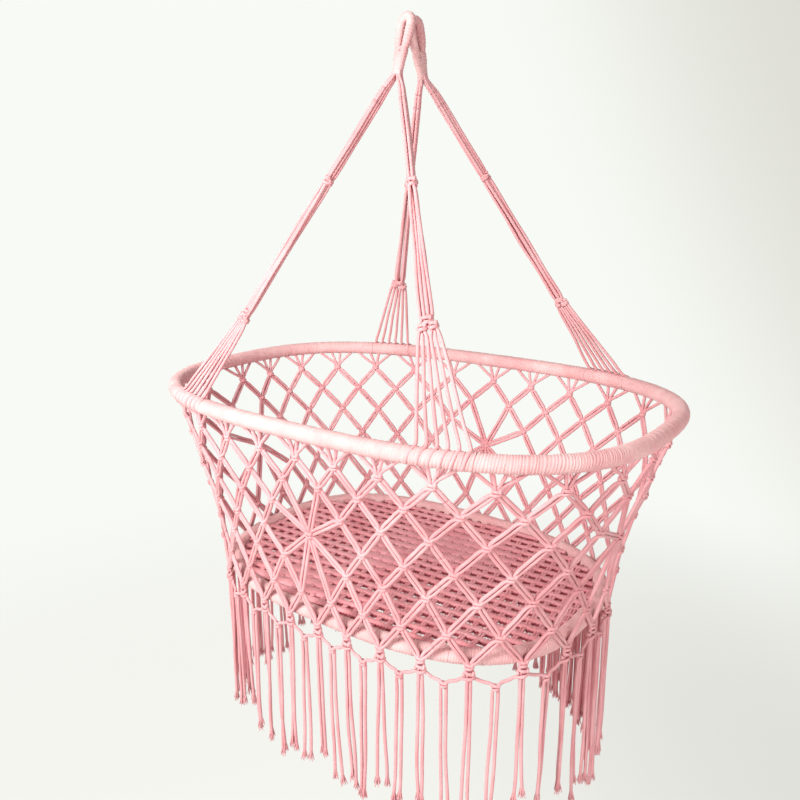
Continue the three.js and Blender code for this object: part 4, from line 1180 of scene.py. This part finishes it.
def run_bundle(cradle, name, rng):
    """Six ropes from a neck to the top hoop, with the bundle's knots."""
    bundle = cradle.bundles[name]
    neck = neck_of(bundle.side)
    end_way = np.array([bundle.x, 0.0, 0.0])
    exit_point = neck.foot + end_way * EXIT_APART
    hoop_point = cradle.top.place(bundle.middle)
    down = unit(hoop_point - exit_point)
    reach = np.linalg.norm(hoop_point - exit_point)
    lateral = cradle.top.along(bundle.middle)
    lateral = unit(lateral - down * lateral.dot(down))
    depth = -np.cross(lateral, down)
    mid, low = reach * bundle.mid_share, reach * bundle.low_share
    mouth_side = np.array([math.copysign(1.0, lateral[0]), 0.0, 0.0])
    mouth_depth = np.cross(mouth_side, neck.axis)
    parts = {key: CordMesh() for key in ("neck_end", "bend", "upper", "lower", "fan")}
    for i in range(ROPES):
        route = Route("neck_end")

        def add(distance, layout, tight=1.0):
            beside = lateral * layout[i, 0] + depth * layout[i, 1]
            route.add(exit_point + down * distance + beside, cradle.rope * tight)

        for up, apart, tight in ((9.0, 3.6, 0.60), (1.0, 4.6, 0.66)):
            spot = neck.foot + end_way * apart + neck.axis * up
            spot = spot + (mouth_side * PACKED[i, 0] + mouth_depth * PACKED[i, 1]) * tight
            route.add(spot, cradle.rope * 0.86)
        add(FLEX / 2, PACKED * 0.86, 0.95)
        route.hand_over("bend")
        add(FLEX, PACKED)
        route.hand_over("upper")
        add((FLEX + mid) / 2, PACKED * 1.03 + rng.normal(0, 0.5, 2))
        add(mid - MID_HOLD, PACKED * 1.02)
        add(mid, PACKED * 0.82, 0.9)
        route.hand_over("lower")
        add(mid + MID_HOLD, PACKED * 0.75 + FLATTER * 0.25)
        for share in (0.3, 0.5, 0.75):
            layout = PACKED * (0.75 - share) + FLATTER * (0.25 + share)
            add(mid + (low - mid) * share, layout + rng.normal(0, 0.5, 2))
        add(low - LOW_ABOVE[0], FLATTER * 1.05)
        add(low - LOW_ABOVE[1], FLATTER * 0.9, DRAWN)
        route.hand_over("fan")
        add(low + LOW_BELOW[0], GROUPED, DRAWN)
        add(low + LOW_BELOW[1], IN_LINE * 0.98)
        fan_top = exit_point + down * (low + LOW_BELOW[1]) + lateral * IN_LINE[i, 0]
        tie_to_hoop(cradle, route, bundle, fan_top, i, rng)
        route.pour(parts, step=4.5, most=8)

    top = parts["neck_end"].build(f"rope_mouth_{name}", "rope", "suspension_rope")
    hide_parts(f"rope_top_{name}")
    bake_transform(top)
    bend = parts["bend"].build(f"rope_bend_{name}", "rope", "suspension_rope")
    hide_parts(f"rope_top_{name}")
    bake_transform(bend)
    upper = parts["upper"].build(f"rope_run_upper_{name}", "rope", "suspension_rope")
    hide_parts(f"upper_ropes_{name}")
    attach(upper, "upper_suspension")
    lower = parts["lower"].build(f"rope_run_lower_{name}", "rope", "suspension_rope")
    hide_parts(f"lower_ropes_{name}")
    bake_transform(lower)
    fan = parts["fan"].build(f"rope_run_fan_{name}", "rope", "suspension_rope")
    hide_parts(f"rope_fan_{name}")
    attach(fan, "cradle")
    for label, distance, knots, body in (
        ("mid", mid, MID_KNOTS, "upper_suspension"),
        ("low", low, LOW_KNOTS, "cradle"),
    ):
        cords = CordMesh()
        for beside, above, half in knots:
            place = exit_point + down * (distance - above) + lateral * beside
            here = Spot(place, depth, lateral, -down)
            tie_knot(cords, here, half, cradle.rope, step=2.4, sides=8)
        piece = cords.build(f"rope_knot_{label}_{name}", "rope", "suspension_rope")
        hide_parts(f"{label}_knot_{name}")
        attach(piece, body)


class CRADLE_OT_suspension(bpy.types.Operator):
    """Run the four bundles of ropes from the necks to the top hoop, with knots and hitches"""

    bl_idname = "cradle.suspension"
    bl_label = "Suspension Ropes"

    def execute(self, context):
        cradle = Cradle(context.scene.cradle_sizes)
        half = FAN_ARC / 2 / cradle.top.length
        radius, rod = cradle.top_radius + 0.2, cradle.top_radius - WALL
        for b, (name, bundle) in enumerate(cradle.bundles.items()):
            run_bundle(cradle, name, np.random.default_rng(SEEDS["rope"] + b))
            start, end = bundle.middle - half, bundle.middle + half
            size = (radius, rod, cradle.pitch * 1.2, HITCH_RIDGE, TOP_SIDES)
            cords = winding_on(cradle.top, start, end, *size, SEEDS["hitch"] + b)
            piece = cords.build(f"wound_hitch_{name}", "wound", "suspension_rope")
            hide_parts(f"rope_hitch_{name}")
            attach(piece, "cradle")
        return {"FINISHED"}


# Studio

CAMERA_PLACE = (0.77665, -1.07814, -0.26036)
CAMERA_RIGHT = (0.80530, 0.59285, -0.00436)
CAMERA_DOWN = (0.14957, -0.21028, -0.96613)
CAMERA_AHEAD = (-0.57369, 0.77737, -0.25801)
# Focal length and middle of the photograph, in pixels of a picture 800 pixels wide.
PICTURE_WIDTH, FOCAL_LENGTH, PICTURE_MIDDLE = 800, 772, (402.27, 400.68)
SENSOR_WIDTH = 36.0
# Name, place, aim, size in metres, power in watts and colour.
LAMPS = (
    ("key_lamp", (-0.35, -1.60, 0.15), (-0.02, 0.0, -0.72), 0.8, 46.0, "#FFFAF2"),
    ("fill_lamp", (2.0, -1.3, -0.55), (0.28, 0.0, -1.05), 1.5, 28.0, "#FFF2EC"),
    ("back_lamp", (-1.0, 2.0, -0.5), (0.0, 0.0, -0.85), 1.6, 9.0, "#FFF4EF"),
)
# The side of the room where the backdrop falls off, and where the change starts and ends.
SHADE_SIDE, SHADE_EDGES = (0.62, 0.46, 0.35), (0.14, 0.42)
# The room's light on the object, and its strength.
ROOM_LIGHT, ROOM_STRENGTH = "#FFE1DC", 0.31
FLOOR_HEIGHT, FLOOR_REACH, FLOOR_RINGS, FLOOR_SIDES = -2.1, 5.0, 10, 48
# Share of the studio floor's shown colour that is a painted glow, which doesn't depend on the
# lamps.
FLOOR_PAINTED_GLOW = 0.84
# The floor's paint, and its shown colours from left to right, painted light to painted shade, and
# in metres where these change and where the floor fades out.
FLOOR_PAINT, FLOOR_SHOWN = "#F4F5F0", ("#FAFCF7", "#E4E6E0")
FLOOR_EDGES, FLOOR_FADE = (-0.3, 1.6), (2.3, 4.2)


def aimed(place, right, up, back):
    """The matrix of a camera or lamp at a place, with its own three axes."""
    turn = Matrix(np.stack([right, up, back], 1).tolist()).to_4x4()
    return Matrix.Translation(place) @ turn


def set_camera(scene):
    data = bpy.data.cameras.new("photo_camera")
    data.sensor_width = SENSOR_WIDTH
    data.lens = SENSOR_WIDTH * FOCAL_LENGTH / PICTURE_WIDTH
    data.shift_x = -(PICTURE_MIDDLE[0] - PICTURE_WIDTH / 2) / PICTURE_WIDTH
    data.shift_y = (PICTURE_MIDDLE[1] - PICTURE_WIDTH / 2) / PICTURE_WIDTH
    camera = put("photo_camera", data)
    down, ahead = np.array(CAMERA_DOWN), np.array(CAMERA_AHEAD)
    camera.matrix_world = aimed(CAMERA_PLACE, CAMERA_RIGHT, -down, -ahead)
    scene.camera = camera


def set_lamps():
    for name, place, aim, size, power, hex_colour in LAMPS:
        data = bpy.data.lights.new(name, "AREA")
        data.size = size
        data.energy = power
        data.color = linear(hex_colour)
        ahead = unit(np.array(aim) - np.array(place))
        right = unit(np.cross(ahead, Z))
        put(name, data).matrix_world = aimed(place, right, np.cross(right, ahead), -ahead)


def set_world(scene):
    """The camera sees the pale backdrop, and the object feels a dimmer, warmer light."""
    world = bpy.data.worlds.new("studio_world")
    node = start_tree(world)
    shades = scene.cradle_finish.backdrop_light, scene.cradle_finish.backdrop_shade
    way = node("TexCoord").outputs["Generated"]
    side = node("VectorMath", {0: way, 1: SHADE_SIDE}, operation="DOT_PRODUCT").outputs["Value"]
    backdrop = changing(node, side, *SHADE_EDGES, *[(*shade, 1.0) for shade in shades])
    seen = node("Background", {"Color": backdrop, "Strength": 1.0})
    room = (*linear(ROOM_LIGHT), 1.0)
    felt = node("Background", {"Color": room, "Strength": ROOM_STRENGTH})
    rays = node("LightPath").outputs
    eyes = node("Math", {0: rays["Is Camera Ray"], 1: rays["Is Glossy Ray"]}, operation="MAXIMUM")
    node("OutputWorld", {"Surface": node("MixShader", {0: eyes, 1: felt, 2: seen})})
    scene.world = world


def painted_floor():
    """Matt white paint under a painted glow from light to shade. It fades into the backdrop far
    off and keeps a soft shadow.
    """
    material = bpy.data.materials.new("painted_studio_floor")
    node = start_tree(material)
    place = node("TexCoord").outputs["Object"]
    matt = node("BsdfDiffuse", {"Color": (*linear(FLOOR_PAINT), 1.0)})
    side = node("VectorMath", {0: place, 1: CAMERA_RIGHT}, operation="DOT_PRODUCT")
    light, shade = ((*linear(shown), 1.0) for shown in FLOOR_SHOWN)
    pale = changing(node, side.outputs["Value"], *FLOOR_EDGES, light, shade)
    shown = node("Emission", {"Color": pale, "Strength": 1.0})
    lit = node("MixShader", {0: FLOOR_PAINTED_GLOW, 1: matt, 2: shown})
    seen = node("LightPath").outputs["Is Camera Ray"]
    solid = node("MixShader", {0: seen, 1: matt, 2: lit})
    far = node("VectorMath", {0: place}, operation="LENGTH").outputs["Value"]
    reach = {"Value": far, "From Min": FLOOR_FADE[0], "From Max": FLOOR_FADE[1]}
    fade = node("MapRange", reach, interpolation_type="SMOOTHSTEP")
    surface = node("MixShader", {0: fade, 1: solid, 2: node("BsdfTransparent")})
    node("OutputMaterial", {"Surface": surface})
    return material


def lay_floor():
    """A pale floor far under the fringe."""
    points, faces = [(0.0, 0.0, FLOOR_HEIGHT)], []
    for ring in range(FLOOR_RINGS):
        radius = FLOOR_REACH * (ring + 1) / FLOOR_RINGS
        for angle in round_angles(FLOOR_SIDES):
            points.append((radius * math.cos(angle), radius * math.sin(angle), FLOOR_HEIGHT))
        for s in range(FLOOR_SIDES):
            a, b = (1 + ring * FLOOR_SIDES + n % FLOOR_SIDES for n in (s, s + 1))
            inner = (b - FLOOR_SIDES, a - FLOOR_SIDES) if ring else (0,)
            faces.append((a, b, *inner))
    mesh = bpy.data.meshes.new("studio_floor")
    mesh.from_pydata(points, [], faces)
    mesh.materials.append(painted_floor())
    floor = put("studio_floor", mesh)


class CRADLE_OT_studio(bpy.types.Operator):
    """Set the camera at the photograph's place, with soft lamps and a pale floor"""

    bl_idname = "cradle.studio"
    bl_label = "Studio"

    def execute(self, context):
        context.scene.view_settings.view_transform = "Standard"
        set_camera(context.scene)
        set_lamps()
        set_world(context.scene)
        lay_floor()
        return {"FINISHED"}


OPERATORS = (
    CRADLE_OT_studio,
    CRADLE_OT_hoop_rods,
    CRADLE_OT_hoops,
    CRADLE_OT_side_net,
    CRADLE_OT_floor,
    CRADLE_OT_rope_eyes,
    CRADLE_OT_suspension,
)


class CRADLE_PT_sidebar(bpy.types.Panel):
    """Lists the cradle's pieces, sizes and colours"""

    bl_idname = "CRADLE_PT_sidebar"
    bl_label = "Knotted Cradle"
    bl_space_type = "VIEW_3D"
    bl_region_type = "UI"
    bl_category = "Cradle"

    def draw(self, context):
        layout = self.layout
        for group in (context.scene.cradle_sizes, context.scene.cradle_finish):
            box = layout.box()
            for key in group.__annotations__:
                box.prop(group, key)
        for operator in OPERATORS:
            layout.operator(operator.bl_idname)


CLASSES = (CradleSizes, CradleFinish, *OPERATORS, CRADLE_PT_sidebar)


def register():
    for cls in CLASSES:
        bpy.utils.register_class(cls)
    bpy.types.Scene.cradle_sizes = PointerProperty(type=CradleSizes)
    bpy.types.Scene.cradle_finish = PointerProperty(type=CradleFinish)


def unregister():
    del bpy.types.Scene.cradle_finish
    del bpy.types.Scene.cradle_sizes
    for cls in reversed(CLASSES):
        bpy.utils.unregister_class(cls)


def main():
    register()
    bpy.ops.cradle.studio()
    bpy.ops.cradle.hoop_rods()
    bpy.ops.cradle.hoops()
    bpy.ops.cradle.side_net()
    bpy.ops.cradle.floor()
    bpy.ops.cradle.rope_eyes()
    bpy.ops.cradle.suspension()


if __name__ == "__main__":
    main()
